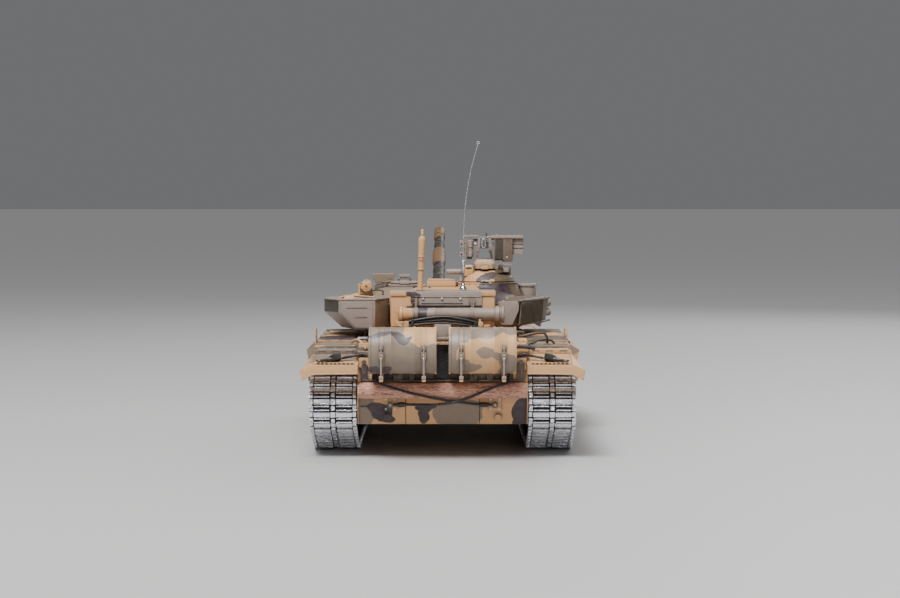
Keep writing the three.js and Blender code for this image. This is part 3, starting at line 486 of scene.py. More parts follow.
def metal(name, colour, roughness=0.35, crevice_shade=0.7, scratch=0.25, metallic=1.0):
    """Bare or plated metal with painted shade in its corners and fine scratches."""
    f = Finish(name)
    cloud = f.noise(5, 4.0).outputs["Fac"]
    fine = f.noise(1.2, 4.0, stretch=(1, 0.25, 1)).outputs["Fac"]
    tinted = f.mix(f.spread(cloud, 0.35, 0.7, 0, 0.3), colour, tuple(c * 0.72 for c in colour))
    # painted shade: near black mixed into the metal's corners and crevices
    tinted = f.mix(f.math("MULTIPLY", f.crevice(2.2), crevice_shade), tinted, (0.012, 0.011, 0.012))
    _, normal = f.corner(0.25)
    rough = f.spread(cloud, 0.3, 0.7, roughness * 0.8, roughness * 1.35)
    return f.shader(tinted, rough, fine, scratch, normal, metallic=metallic)


def plastic(name, colour, roughness=0.5, rubbed=0.25, size=1.0, bump=0.12):
    """Moulded plastic or rubber with a fine grain, paler on its edges."""
    f = Finish(name)
    cloud = f.noise(5, 4.0).outputs["Fac"]
    grain = f.noise(size, 3.0).outputs["Fac"]
    edge, normal = f.corner(0.3)
    pale = tuple(min(c * 2.6 + 0.05, 1) for c in colour)
    tinted = f.mix(f.math("MULTIPLY", edge, rubbed), colour, pale)
    tinted = f.mix(f.spread(cloud, 0.45, 0.75, 0, 0.06), tinted, DUST)
    # painted shade: near black mixed into the plastic's corners and crevices
    tinted = f.mix(f.math("MULTIPLY", f.crevice(2), 0.5), tinted, (0.01, 0.01, 0.01))
    rough = f.spread(cloud, 0.3, 0.7, roughness * 0.85, min(roughness * 1.2, 1))
    return f.shader(tinted, rough, grain, bump, normal)


def bark(name):
    """Pinkish brown bark with a fine grain and a few dark cracks along the log."""
    f = Finish(name)
    grain = f.noise(0.9, 6.0, stretch=(0.3, 1, 1)).outputs["Fac"]
    cracks = f.noise(1.6, 4.0, stretch=(0.12, 1, 1)).outputs["Fac"]
    patch = f.noise(9, 3.0).outputs["Fac"]
    colour = f.mix(f.spread(grain, 0.38, 0.62), (0.34, 0.15, 0.10), (0.62, 0.33, 0.24))
    colour = f.mix(f.spread(patch, 0.5, 0.75, 0, 0.25), colour, (0.60, 0.38, 0.29))
    colour = f.mix(f.spread(cracks, 0.385, 0.33), colour, (0.09, 0.035, 0.022))
    return f.shader(colour, f.spread(grain, 0.3, 0.7, 0.9, 0.65), grain, 0.9)


def cut_wood(name):
    """A sawn end with growth rings round the log's axis."""
    f = Finish(name)
    centre = f.vector("SUBTRACT", f.at, (0, LOG.y, LOG.z))
    flat = f.vector("MULTIPLY", centre, (0, 1, 1))
    reach = f.vector("LENGTH", flat)
    wobble = f.math("MULTIPLY", f.noise(3, 2.0).outputs["Fac"], 1.5)
    rings = f.math("SINE", f.math("MULTIPLY", f.math("ADD", reach, wobble), 8.0))
    colour = f.mix(f.spread(rings, -1, 1), (0.62, 0.38, 0.22), (0.80, 0.58, 0.38))
    return f.shader(colour, f.spread(rings, -1, 1, 0.6, 0.8), rings, 0.3)


def glassy(name, colour):
    """A dark coated lens or periscope face."""
    f = Finish(name)
    cloud = f.noise(4, 3.0).outputs["Fac"]
    tinted = f.mix(f.spread(cloud, 0.3, 0.7, 0, 0.35), colour, tuple(c * 0.4 for c in colour))
    return f.shader(tinted, f.spread(cloud, 0.3, 0.7, 0.05, 0.16), cloud, 0.02, coat=1.0)


# ------------------------------------------------------------------ the finishes of this tank

DRUM_Y = -239.0
STERN_Y = -199.0
DRUM_PATCHES = [
    (GREY, (-34, DRUM_Y, 80), (60, 30, 15)),
    (GREY, (-50, DRUM_Y, 96), (20, 30, 14)),
    (GREY, (-38, DRUM_Y, 105), (10, 30, 5)),
    (SAND, (-15, DRUM_Y, 101), (15, 30, 9)),
    (PLUM, (-46, DRUM_Y, 99.2), (13, 14, 2.4)),
    (PLUM, (-34, DRUM_Y, 98.6), (6, 14, 3.4)),
    (PLUM, (-28, DRUM_Y, 95.6), (6, 14, 2.6)),
    # painted shadow: a thin plum band low on the left drum's lower left
    (PLUM, (-50, -236, 73.4), (10, 20, 3.0)),
    (SAND, (30, DRUM_Y, 86), (30, 40, 60)),
    (GREY, (26, -232, 103), (21, 20, 8)),
    (GREY, (12, -232, 98), (9, 20, 5)),
    (GREY, (52, -232, 105), (8, 20, 5)),
    (GREY, (6, DRUM_Y, 84), (5.5, 30, 16)),
    (GREY, (17, DRUM_Y, 74.5), (12, 30, 5.5)),
    (GREY, (34, DRUM_Y, 86.2), (7, 30, 4.4)),
    (GREY, (47, DRUM_Y, 83), (9, 30, 4)),
    (GREY, (51, DRUM_Y, 76), (9, 30, 9)),
]
STERN_PATCHES = [
    (GREY, (-62, STERN_Y, 40), (9, 30, 22)),
    (PLUM, (-49, STERN_Y, 38.5), (9, 30, 8)),
    (PLUM, (-44, STERN_Y, 31.5), (7, 30, 4)),
    (GREY, (12, STERN_Y, 34), (20, 30, 15)),
    (PLUM, (-14, STERN_Y, 41), (9, 30, 3.4)),
    (PLUM, (-15.5, STERN_Y, 34), (4.6, 30, 8)),
    (PLUM, (63, STERN_Y, 35), (8, 30, 13)),
    (PLUM, (-64, STERN_Y, 66), (5, 20, 6)),
    (GREY, (-30, STERN_Y, 66), (20, 20, 8)),
]
TURRET_PATCHES = [
    (OLIVE, (70, -24, 122), (16, 40, 12)),
    (PLUM, (44, -30, 125), (16, 34, 10)),
    (GREY, (78, 10, 122), (18, 40, 14)),
    (GREY, (-50, 0, 126), (34, 60, 12)),
    (PLUM, (-22, -60, 129), (12, 14, 3)),
    (GREY, (20, 80, 112), (26, 22, 14)),
    (PLUM, (-40, 85, 108), (14, 18, 10)),
    (PLUM, (-8, 30, 129), (10, 14, 5)),
]
CUPOLA_PATCHES = [
    (GREY, (22, 30, 132), (16, 12, 12)),
    (OLIVE, (66, -2, 136), (22, 40, 20)),
    (OLIVE, (58, -24, 138), (16, 18, 9)),
    (OLIVE, (66, -6, 124), (15, 40, 11)),
    (OLIVE, (54, -24, 130.5), (13, 20, 4)),
    (PLUM, (34, -22, 134.4), (8, 22, 2.6)),
    (PLUM, (40, -20, 136.8), (7, 22, 3.0)),
    (PLUM, (36, -26, 127.4), (10, 26, 4.6)),
    (PLUM, (45, -24, 123), (15, 28, 8)),
]
FENDER_PATCHES = [
    (GREY, (-84, -178, 83), (38, 36, 8)),
    (GREY, (-88, -128, 87), (36, 23, 14)),
    (PLUM, (-84, -80, 88), (36, 24, 8)),
    (GREY, (-84, -22, 88), (36, 19, 8)),
    (GREY, (-118, 40, 62), (10, 60, 20)),
    (GREY, (84, -137, 87), (38, 18, 7)),
    (PLUM, (76, -112, 88), (26, 5, 6)),
    (OLIVE, (84, -80, 88), (40, 26, 10)),
    (PLUM, (-88, 30, 80), (40, 16, 20)),
    (GREY, (88, 20, 80), (40, 26, 20)),
    (PLUM, (92, 84, 78), (40, 14, 20)),
    (GREY, (-90, 110, 78), (40, 24, 20)),
    (GREY, (0, -160, 88), (60, 18, 8)),
    (PLUM, (34, -112, 88), (30, 10, 6)),
    (GREY, (-10, 180, 74), (46, 22, 24)),
    (PLUM, (46, 176, 74), (16, 26, 20)),
    (PLUM, (-60, 150, 80), (18, 18, 20)),
]
SHADED_GUN_PATCHES = [
    (SHADED_GUN_OLIVE, (-4, 67, 115), (400, 119, 400)),
    (SHADED_GUN_PLUM, (-4, 196, 138), (40, 13, 20)),
    (SHADED_GUN_OLIVE, (-4, 305, 157), (40, 30, 40)),
]
drum_paint = painted("drum_paint", SAND, DRUM_PATCHES, gloss=0.8)
stern_paint = painted("stern_paint", SAND, STERN_PATCHES)
turret_paint = painted("turret_paint", SAND, TURRET_PATCHES)
cupola_paint = painted("cupola_paint", SAND, CUPOLA_PATCHES)
fender_paint = painted("fender_paint", SAND, FENDER_PATCHES, wear=0.6)
sand_paint = painted("sand_paint", SAND)
# painted shade: a dark brown base for the shelf under the drums, where shade falls; the patches on it are
# camouflage
shaded_shelf_paint = painted("shaded_shelf_paint", (0.09, 0.058, 0.032),
                      [(PLUM, (-55, -202, 66), (12, 20, 9)), (GREY, (40, -202, 66), (14, 20, 9))])
grey_paint = painted("grey_paint", GREY)
pale_grey_paint = painted("pale_grey_paint", (0.27, 0.213, 0.18))
olive_paint = painted("olive_paint", OLIVE)
box_paint = painted("box_paint", (0.28, 0.222, 0.19), [(PLUM, (-27, -107, 123), (8, 30, 6))])
snorkel_paint = painted("snorkel_paint", (0.26, 0.205, 0.17), [
    (SAND, (-36, -99, 108), (12, 40, 12)), (PLUM, (-17.5, -99, 108), (6.5, 40, 12))])
# painted shade: the gun's sand and patches are darkened, for the dim light on the gun
shaded_gun_paint = painted("shaded_gun_paint", (0.15, 0.078, 0.034), SHADED_GUN_PATCHES, gloss=0.25)
camouflage = painted("camouflage", SAND, scatter=62)
dark_camouflage = painted("dark_camouflage", OLIVE, scatter=50)
track_metal = metal("track_metal", (0.93, 0.93, 0.99), 0.27, 1.0, 0.6, 0.6)
# painted shade: the links' bed between the cleats is near black, standing in for the shade in the gaps
shaded_track_bed = metal("shaded_track_bed", (0.02, 0.02, 0.021), 0.5, 1.0, 0.4, 0.4)
steel = metal("steel", (0.62, 0.61, 0.60), 0.3)
chrome = metal("chrome", (0.86, 0.86, 0.88), 0.12, 0.3, 0.05)
gunmetal = metal("gunmetal", (0.16, 0.155, 0.16), 0.42)
black_rubber = plastic("black_rubber", (0.010, 0.010, 0.011), 0.40, 0.12)
tyre_rubber = plastic("tyre_rubber", (0.03, 0.029, 0.028), 0.8, 0.3)
black_braid = plastic("black_braid", (0.010, 0.010, 0.012), 0.30, 0.35, 0.35, 0.3)
dark_plastic = plastic("dark_plastic", (0.016, 0.016, 0.016), 0.42, 0.3)
board_green = plastic("board_green", (0.02, 0.13, 0.06), 0.4)
cell_blue = plastic("cell_blue", (0.02, 0.07, 0.30), 0.3)
log_bark = bark("log_bark")
log_end = cut_wood("log_end")
lens = glassy("lens", (0.05, 0.06, 0.09))
cupola_stand_paint = painted("cupola_stand_paint", SAND,
                             CUPOLA_PATCHES + [(GREY, (10, 30, 126), (16, 16, 9))])
bin_paint = painted("bin_paint", (0.25, 0.197, 0.17), [(GREY, (-50, -66, 108), (8, 24, 60))])
ribbed_olive_paint = painted("ribbed_olive_paint", (0.085, 0.06, 0.037))
hatch_paint = painted("hatch_paint", (0.46, 0.31, 0.18))
# painted shade: near black, for the shade on the left bin's outer quarter face
shaded_quarter_paint = painted("shaded_quarter_paint", QUARTER_SHADE)
canvas = plastic("canvas", (0.16, 0.13, 0.085), 0.85, 0.1, 0.7, 0.5)
brass = metal("brass", (0.72, 0.50, 0.22), 0.3)
ammo_paint = painted("ammo_paint", (0.11, 0.073, 0.046))
ammo_dark = painted("ammo_dark_paint", (0.030, 0.021, 0.013))

# ------------------------------------------------------------------ running gear


def belt_outline(offset, step):
    """The belt's inner face moved outwards: arcs about the wheels, joined by straight runs."""
    circles = [
        (WHEEL_YS[-1], WHEEL_Z, WHEEL_RADIUS),
        (WHEEL_YS[0], WHEEL_Z, WHEEL_RADIUS),
        (IDLER.y, IDLER.z, IDLER_RADIUS),
        (SPROCKET.y, SPROCKET.z, SPROCKET_RADIUS),
    ]
    circles = [(y, z, r + BELT_GAP + offset) for y, z, r in circles]
    normals = []
    for a, b in zip(circles, circles[1:] + circles[:1]):
        distance = math.hypot(b[0] - a[0], b[1] - a[1])
        normals.append(math.atan2(b[1] - a[1], b[0] - a[0]) - math.acos((a[2] - b[2]) / distance))
    outline = []
    for i, (y, z, r) in enumerate(circles):
        start, end = normals[i - 1], normals[i]
        while end < start:
            end += 2 * math.pi
        steps = max(1, math.ceil((end - start) / step))
        for k in range(steps + 1):
            angle = start + (end - start) * k / steps
            outline.append(Vector((y + r * math.cos(angle), z + r * math.sin(angle))))
    return outline


def belt_stations(offset, count):
    """Points at even distances along the belt."""
    outline = belt_outline(offset, 0.03)
    lengths = [(b - a).length for a, b in zip(outline, outline[1:] + outline[:1])]
    total = sum(lengths)
    stations, edge, before = [], 0, 0.0
    for i in range(count):
        target = total * i / count
        while before + lengths[edge] < target:
            before += lengths[edge]
            edge += 1
        share = (target - before) / lengths[edge]
        stations.append(outline[edge].lerp(outline[(edge + 1) % len(outline)], share))
    return stations, total


def track_link():
    """A link's bright cleats and its bed, near black as painted shade, with X across, Y along the belt and
    -Z outwards.
    """
    link = bmesh.new()
    pin_y = LINK_PITCH / 2
    bed = box((-15.6, -4.6, 0.8), (15.6, 4.6, 1.9), 0.3)
    add_to(bed, round_bar("x", -16, 16, 0.75, (0, pin_y, 0.75), 10))
    add_to(bed, prism("x", [(-2.3, 1.5), (2.3, 1.5), (1.2, 6.2), (-0.2, 6.6)], -2.1, 2.1, 0.4))
    for sign in (-1, 1):
        inner, outer = pair(sign, 2.4, 15.2)
        pad = cube((inner, -2.0, -1.3), (outer, 2.0, 1.0))
        ground_face = min(pad.faces, key=lambda f: f.normal.z)
        bmesh.ops.inset_region(pad, faces=[ground_face], thickness=0.7, depth=-0.55)
        add_to(link, rounded(pad, 0.2, 1))
        for offset in (-1.55, 1.55):
            add_to(link,
                   box((inner + 0.3, pin_y + offset - 0.45, -1.1),
                       (outer - 0.3, pin_y + offset + 0.45, 1.2), 0.2))
        for x in (inner + 3.2, (inner + outer) / 2, outer - 3.2):
            add_to(link, box((x - 0.4, 1.8, -0.3), (x + 0.4, 3.6, 1.2), 0.12))
        ends = pair(sign, 15.5, 18.7)
        add_to(link, box((ends[0], pin_y - 2.2, -1.3), (ends[1], pin_y + 2.2, 1.9), 0.7))
        add_to(link, lathe("z", [(-1.7, 0.7), (-1.7, 1.25), (-1.2, 1.4), (-1.2, 0.7), (-1.7, 0.7)],
                           (sign * 17.1, pin_y, 0), 12))
        add_to(link, box((ends[0], -2.3, -0.8), (ends[1] - 0.4, 1.9, 1.5), 0.5))
    add_to(link, box((-1.9, -2.4, -1.3), (1.9, 2.2, 0.9), 0.4))
    add_to(link, box((-1.5, pin_y - 1.7, -1.1), (1.5, pin_y + 1.7, 1.4), 0.5))
    add_to(link, dome((0, -0.2, -1.22), DOWN, 1.0, 0.12))
    return ((track_metal, link), (shaded_track_bed, bed))


def track(side, sign):
    """The whole belt: one detailed link repeated along its run."""
    stations, _ = belt_stations(TRACK_PLATE, round(belt_stations(TRACK_PLATE / 2, 1)[1] / LINK_PITCH))
    piece = Piece(f"track_links_{side}")
    for material, plan in track_link():
        for here, following in zip(stations, stations[1:] + stations[:1]):
            along = (following - here).normalized()
            centre = (here + following) / 2
            link = plan.copy()
            link.transform(Matrix((
                (1, 0, 0, sign * TRACK_X),
                (0, along.x, -along.y, centre.x),
                (0, along.y, along.x, centre.y),
                (0, 0, 0, 1),
            )))
            piece.add(material, link)
        plan.free()
    piece.finish("hull", "track", f"track_{side}")


def ring_of(count, radius, make, phase=0.0):
    """Shapes made by a function at even turns about the X axis."""
    shapes = []
    for i in range(count):
        angle = 2 * math.pi * (i + phase) / count
        shapes.append(make(radius * math.cos(angle), radius * math.sin(angle), angle))
    return shapes


def outwards(piece, sign):
    """Turns a wheel that was drawn for the right-hand side to face its own side."""
    if sign < 0:
        piece.mesh.transform(Matrix.Rotation(math.pi, 4, "Z"))


def spoke(inner, outer, half_width, low, high):
    """A raised rib on a wheel's face, ready to be turned into place."""
    def make(_, __, angle):
        rib = box((low, inner, -half_width), (high, outer, half_width), 0.3)
        return transformed(rib, Matrix.Rotation(angle, 4, "X"))
    return make


def road_wheel(side, sign, index):
    """Two rubber-tyred discs with pressed ribs, a hub cap and its bolts."""
    piece = Piece(f"wheel_{side}_{index}")
    r, tyre = WHEEL_RADIUS, WHEEL_RADIUS - 3.2
    for start, end in ((3.6, 10.9), (-10.9, -3.6)):
        profile = [(start, tyre - 0.5), (start, r - 0.6), (start + 0.6, r), (end - 0.6, r), (end, r - 0.6),
                   (end, tyre - 0.5), (start, tyre - 0.5)]
        piece.add(tyre_rubber, lathe("x", profile, segments=56))
    disc = [(4.2, 4.5), (4.2, tyre - 0.4), (10.5, tyre), (10.5, 17.8), (8.2, 16.6), (7.2, 10), (7.6, 8.2),
            (10.2, 7.4), (10.8, 6.2), (10.8, 0), (4.2, 0)]
    piece.add(camouflage, lathe("x", disc, segments=56))
    far = [(-10.5, 2.6), (-10.5, tyre), (-4.2, tyre), (-4.2, 15), (4.4, 15), (4.4, 5)]
    piece.add(dark_camouflage, lathe("x", far + [(2, 2.6), (-10.5, 2.6)], segments=48))
    piece.add(camouflage, *ring_of(12, 1, spoke(8.6, 17, 0.7, 7.1, 8.6)))
    piece.add(steel, *ring_of(10, 8.9, lambda y, z, _: bolt((9.4, y, z), (1, 0, 0), 0.55), 0.5))
    piece.add(dark_camouflage,
              lathe("x", [(10.6, 0), (10.6, 5.2), (11.3, 4.6), (11.6, 2.8), (11.6, 0)], segments=32))
    outwards(piece, sign)
    centre = own(WHEELS[side][index - 1])
    piece.finish(f"wheel_{side}_{index}", "olive", f"road_wheel_{side}_{index}",
                 turn=Matrix.Translation(centre))


def sprocket(side, sign):
    """Two toothed rings bolted to a drum, with a domed hub."""
    piece = Piece(f"sprocket_{side}_detail")
    teeth = 12
    outline = []
    for i in range(teeth):
        for share, r in ((-0.32, 14.8), (-0.14, 17.9), (0.14, 17.9), (0.32, 14.8)):
            angle = (i + share) * 2 * math.pi / teeth
            outline.append((r * math.cos(angle), r * math.sin(angle)))
    for start in (12.7, -16.7):
        piece.add(steel, prism("x", outline, start, start + 4, 0.35))
    drum = [(-15, 2.6), (-15, 12.3), (-11, 11.2), (11, 11.2), (14, 12.3), (15.6, 11.6), (15.6, 8),
            (14.6, 7), (14.6, 5.4), (17, 4.6), (17.8, 2.4), (17.8, 0), (9, 0), (9, 2.6), (-15, 2.6)]
    piece.add(dark_camouflage, lathe("x", drum, segments=48))
    plate = [(16.5, 0), (16.5, 13.2), (16.9, 13.2), (17.2, 12.6), (17.2, 11.6), (16.8, 11.2), (16.8, 7),
             (17.4, 6), (17.7, 3), (17.7, 0)]
    piece.add(camouflage, lathe("x", plate, segments=48))
    piece.add(steel, *ring_of(12, 9.2, lambda y, z, _: bolt((16.7, y, z), (1, 0, 0), 0.7), 0.5))
    outwards(piece, sign)
    centre = Vector((sign * TRACK_X, SPROCKET.y, SPROCKET.z))
    piece.finish(f"sprocket_{side}", "olive", f"drive_sprocket_{side}", turn=Matrix.Translation(centre))


def idler(side, sign):
    """The front wheel that the belt turns round: two plain dished discs."""
    piece = Piece(f"idler_{side}_detail")
    r = IDLER_RADIUS
    disc = [(3.6, 4), (3.6, r - 0.6), (4.2, r), (10.4, r), (10.9, r - 0.6), (10.9, r - 2.4), (8.6, 11.4),
            (7.4, 9), (7.4, 6.4), (10.4, 5.4), (10.8, 0), (3.6, 0)]
    piece.add(dark_camouflage, lathe("x", disc, segments=48))
    far = [(-10.9, 2.6), (-10.9, r - 0.6), (-10.4, r), (-4.2, r), (-3.6, r - 0.6), (-3.6, 10), (4, 10),
           (4, 5), (2, 2.6), (-10.9, 2.6)]
    piece.add(dark_camouflage, lathe("x", far, segments=48))
    piece.add(camouflage, *ring_of(8, 1, spoke(6.6, 12.6, 0.8, 7.2, 8.8)))
    piece.add(steel, *ring_of(8, 7.6, lambda y, z, _: bolt((7.5, y, z), (1, 0, 0), 0.5), 0.5))
    outwards(piece, sign)
    centre = Vector((sign * TRACK_X, IDLER.y, IDLER.z))
    piece.finish(f"idler_{side}", "olive", f"idler_wheel_{side}", turn=Matrix.Translation(centre))


def skirt(side, sign):
    """The rubber skirt, its hangers, and three armour panels that lean out at the front."""
    piece = Piece(f"skirt_{side}_detail")

    def out(points):
        return [(sign * x, z) for x, z in points]

    face = 106.0
    for y0, y1 in zip((-150, -95, -40, 15, 70, 125), (-95.8, -40.8, 14.2, 69.2, 124.2, 189)):
        foot = 43 if y0 > -150 else 45
        outline = [(y0, 66.7), (y0, 47), (y0 + 3, foot), (y1 - 3, foot), (y1, 47), (y1, 66.7)]
        piece.add(black_rubber, prism("x", outline, *pair(sign, face, face + 1.3), 0.3))
        piece.add(camouflage, side_box(sign, (face + 1.1, y0 + 1, 60.5), (face + 1.9, y1 - 1, 66.4), 0.25))
        for y in (y0 + 6, (y0 + y1) / 2, y1 - 6):
            piece.add(steel, bolt((sign * (face + 1.8), y, 63.4), (sign, 0, 0), 0.8))
    for y in (16, 60, 104):
        slab = [(106.9, 60), (106.9, 44.2), (115.4, 40.2), (117, 60), (119.5, 71.6), (111.1, 76.7),
                (111.1, 66)]
        piece.add(fender_paint, prism("y", out(slab), y, y + 42, 0.7))
        for k in range(3):
            block = [(115.6, 44.5), (118.2, 44.2), (119.0, 60), (117, 60)]
            piece.add(fender_paint, prism("y", out(block), y + 2 + k * 13.2, y + 13.6 + k * 13.2, 0.5))
            for z in (47.5, 56.5):
                piece.add(steel, bolt((sign * 118.5, y + 7.8 + k * 13.2, z), (sign, 0, 0), 0.7))
        piece.add(gunmetal, round_bar("y", -4, 4, 1.2, (sign * 111.4, y + 21, 77.2), 12))
    marker = (106.6, 109.0) if sign > 0 else (-112.1, -110.9)
    piece.add(sand_paint, box((marker[0], 18, 72), (marker[1], 32, 90.4), 0.4),
              box((marker[0] - 0.3, 17.4, 84), (marker[1] + 0.3, 32.6, 85.2), 0.2))
    piece.finish("hull", "grey", f"side_skirt_{side}")


# ------------------------------------------------------------------ stern


def stern():
    """Plates, seams, pins and stubs on the lower hull's stern, and the brackets over the log."""
    piece = Piece("stern_fittings")
    for x0, x1 in ((-66.2, -29.3), (-28.7, 28.7), (29.3, 66.2)):
        outline = [(-199.7, 59.8), (-199.7, 43.8), (-190.9, 26.8), (-190, 26.8), (-199, 44), (-199, 59.8)]
        piece.add(stern_paint, prism("x", outline, x0, x1, 0.22))
    slope = Vector((0, -17, -9)).normalized()
    for _, sign in SIDES:
        knob = [(-1, 0), (-1, 2.7), (1.2, 2.7), (2.3, 2.0), (2.8, 0.9), (2.9, 0)]
        piece.add(pale_grey_paint,
                  transformed(lathe("z", knob, segments=28), facing((sign * 43.5, -194.4, 33), slope)))
        pin_x = sign * 41
        pin = [(-7.2, 0), (-7.2, 1.1), (-6.4, 1.5), (-6.2, 1.1), (0, 1.3), (0, 2.6), (1, 2.6), (1, 0)]
        piece.add(gunmetal, lathe("y", pin, (pin_x, HULL_REAR - 0.4, 43.2), 20))
        piece.add(stern_paint, box((pin_x - 5, HULL_REAR - 1.4, 38), (pin_x + 5, HULL_REAR + 1, 48.5), 0.5))
        for dx in (-3.6, 3.6):
            for z in (39.6, 47):
                piece.add(steel, bolt((pin_x + dx, HULL_REAR - 1.3, z), AFT, 0.55))
        flange = [(-201, 60), (-201.6, 44), (-192.4, 26.9), (-189, 26.9), (-196, 44), (-196, 60)]
        piece.add(sand_paint, prism("x", flange, *pair(sign, 66.1, 67.0), 0.25))
        piece.add(fender_paint, box((sign * 58.5 - 3.4, -203, 61.2), (sign * 58.5 + 3.4, -198, 69.6), 0.5))
    piece.add(black_rubber, box((-64.6, -200.0, 41.0), (-57.8, -199.5, 41.7), 0.1))
    piece.add(stern_paint, box((-63, -200.6, 52), (-50, -199.4, 58), 0.4))
    for x in range(-60, 61, 12):
        piece.add(stern_paint, dome((x, -199.7, 57.2), AFT, 0.6))
    piece.finish("hull", "grey")

    shelf = Piece("drum_shelf")
    shelf.add(shaded_shelf_paint, box((-64, -205.5, 61.6), (64, -199, 62.8), 0.3),
              box((-64, -200.2, 62), (-7, -199, 80), 0.4), box((7, -200.2, 62), (64, -199, 80), 0.4))
    for x, width, top in ((-61, 5, 74), (-35, 7, 70), (-24, 4, 68), (24, 6, 69), (37, 5, 68), (61, 6, 76)):
        shelf.add(shaded_shelf_paint, box((x - width / 2, -204.6, 62.4), (x + width / 2, -199.6, top), 0.5),
                  bolt((x, -204.7, (62 + top) / 2), AFT, 0.7))
    for k in range(9):
        shelf.add(shaded_shelf_paint, dome((-52 + 13 * k, -205.4, 62.2), AFT, 0.5))
    shelf.add(pale_grey_paint, box((-6.4, -206, 96.6), (6.4, -200, 106), 0.5))
    shelf.add(sand_paint, box((-6, -205, 92.9), (6, -201, 94.2), 0.3),
              box((-2.4, -206, 90.4), (1.8, -203, 92.6), 0.5))
    shelf.add(pale_grey_paint, box((-6.4, -205.4, 90.2), (6.4, -202, 91.2), 0.3),
              tube([(-6.2, -206, 95.4), (6.2, -206, 95.4)], 0.6))
    # painted shade: the sheet and its slanted bars are near black, for the shade in the deep gap between the
    # drums
    shelf.add(dark_plastic, box((-6.4, -200.8, 62.8), (6.4, -199.2, 90.2), 0.3))
    for k in range(9):
        lean = [(-6.2, -201.4, 62 + 3 * k), (6.2, -201.4, 66 + 3 * k)]
        shelf.add(dark_plastic, tube(lean, 0.28, 6), tube([(-x, y, z) for x, y, z in lean], 0.28, 6))
    shelf.finish("hull", "sand")


def drum(side, sign):
    """A fuel drum: rolled rims, two raised rings, two strapped bands with buckles and tension rods."""
    piece = Piece(f"drum_{side}_detail")
    r, half = DRUM_RADIUS, DRUM_HALF
    centre = Vector((sign * DRUM.x, DRUM.y, DRUM.z))
    profile = [(-half + 1.6, 0), (-half + 1.6, r - 3.2), (-half, r - 2.4), (-half, r - 0.3),
               (-half + 0.5, r), (-half + 1.6, r), (-half + 2.1, r - 0.45), (-10.2, r - 0.45),
               (-9.5, r + 0.05), (-8.7, r + 0.05), (-8, r - 0.45)]
    far = [(-along, reach) for along, reach in reversed(profile)]
    piece.add(drum_paint, lathe("x", profile + far, centre, 72))
    cap = [(-half + 0.9, 0), (-half + 0.9, 3), (-half + 1.7, 3.2)]
    piece.add(drum_paint, lathe("x", cap, centre + Vector((0, 6, 5)), 20))
    for offset in (-DRUM_STRAP, DRUM_STRAP):
        x = centre.x + offset
        for dx in (-1.9, 1.9):
            wire = [(dx - 0.3, r - 0.6), (dx - 0.3, r - 0.1), (dx + 0.3, r - 0.1), (dx + 0.3, r - 0.6)]
            piece.add(drum_paint, lathe("x", wire + wire[:1], Vector((x, centre.y, centre.z)), 72))
        face = centre.y - r
        for z, tall, wide in ((90.4, 1.7, 1.7), (84.6, 2.2, 2.0), (81.8, 1.4, 1.5)):
            piece.add(grey_paint,
                      box((x - wide, face - 1.2, z - tall), (x + wide, face + 1.5, z + tall), 0.45))
            piece.add(steel, dome((x, face - 1.1, z), AFT, 0.6))
        piece.add(pale_grey_paint, tube([(x, face - 0.6, 88.6), (x, face - 1.1, 86)], 0.6, 10),
                  tube([(x, face - 0.9, 82), (x, face - 0.7, 77), (x, face - 0.1, 68.2)], 0.85, 12),
                  box((x - 1.7, face - 1.8, 66.2), (x + 1.7, face + 1.4, 68.4), 0.4))
        piece.add(steel, round_bar("z", 64.2, 66.3, 0.8, (x, face - 0.2, 0), 10))
        foot = [(face - 1.2, 64), (face + 12, 63.6), (face + 14, 66.6), (face + 5, 66.8),
                (face - 1.2, 66.4)]
        piece.add(stern_paint, prism("x", foot, x - 1.5, x + 1.5, 0.3))
    piece.finish("hull", "sand", f"fuel_drum_{side}")


def bark_log():
    """The unditching log: cracked bark round it and sawn ends."""
    piece = Piece("log_detail")
    half, rings, sides = 66.0, 150, 56
    shape = bmesh.new()
    grid = []
    for i in range(rings + 1):
        x = -half + 2 * half * i / rings
        ring = []
        for k in range(sides):
            angle = 2 * math.pi * k / sides
            along = Vector((x * 0.05, math.cos(angle) * 2.4, math.sin(angle) * 2.4))
            ridge = noise.fractal(along, 0.9, 2.1, 4) * 0.42
            swell = noise.noise(Vector((x * 0.035, angle, 3.7))) * 0.35
            r = LOG_RADIUS - 0.35 + ridge + swell
            r -= 0.5 * max(0.0, abs(x) - half + 1.0)
            ring.append(shape.verts.new((x, LOG.y + r * math.cos(angle), LOG.z + r * math.sin(angle))))
        grid.append(ring)
    skin(shape, grid)
    bmesh.ops.recalc_face_normals(shape, faces=shape.faces)
    piece.add(log_bark, shape)
    for sign in (-1, 1):
        end = [(half - 0.4, 0), (half - 0.4, LOG_RADIUS - 0.3), (half + 0.15, LOG_RADIUS - 0.8),
               (half + 0.3, 0)]
        piece.add(log_end, lathe("x", [(sign * a, b) for a, b in end], (0, LOG.y, LOG.z), 48))
    piece.finish("hull", "wood", "unditching_log", smooth=70)


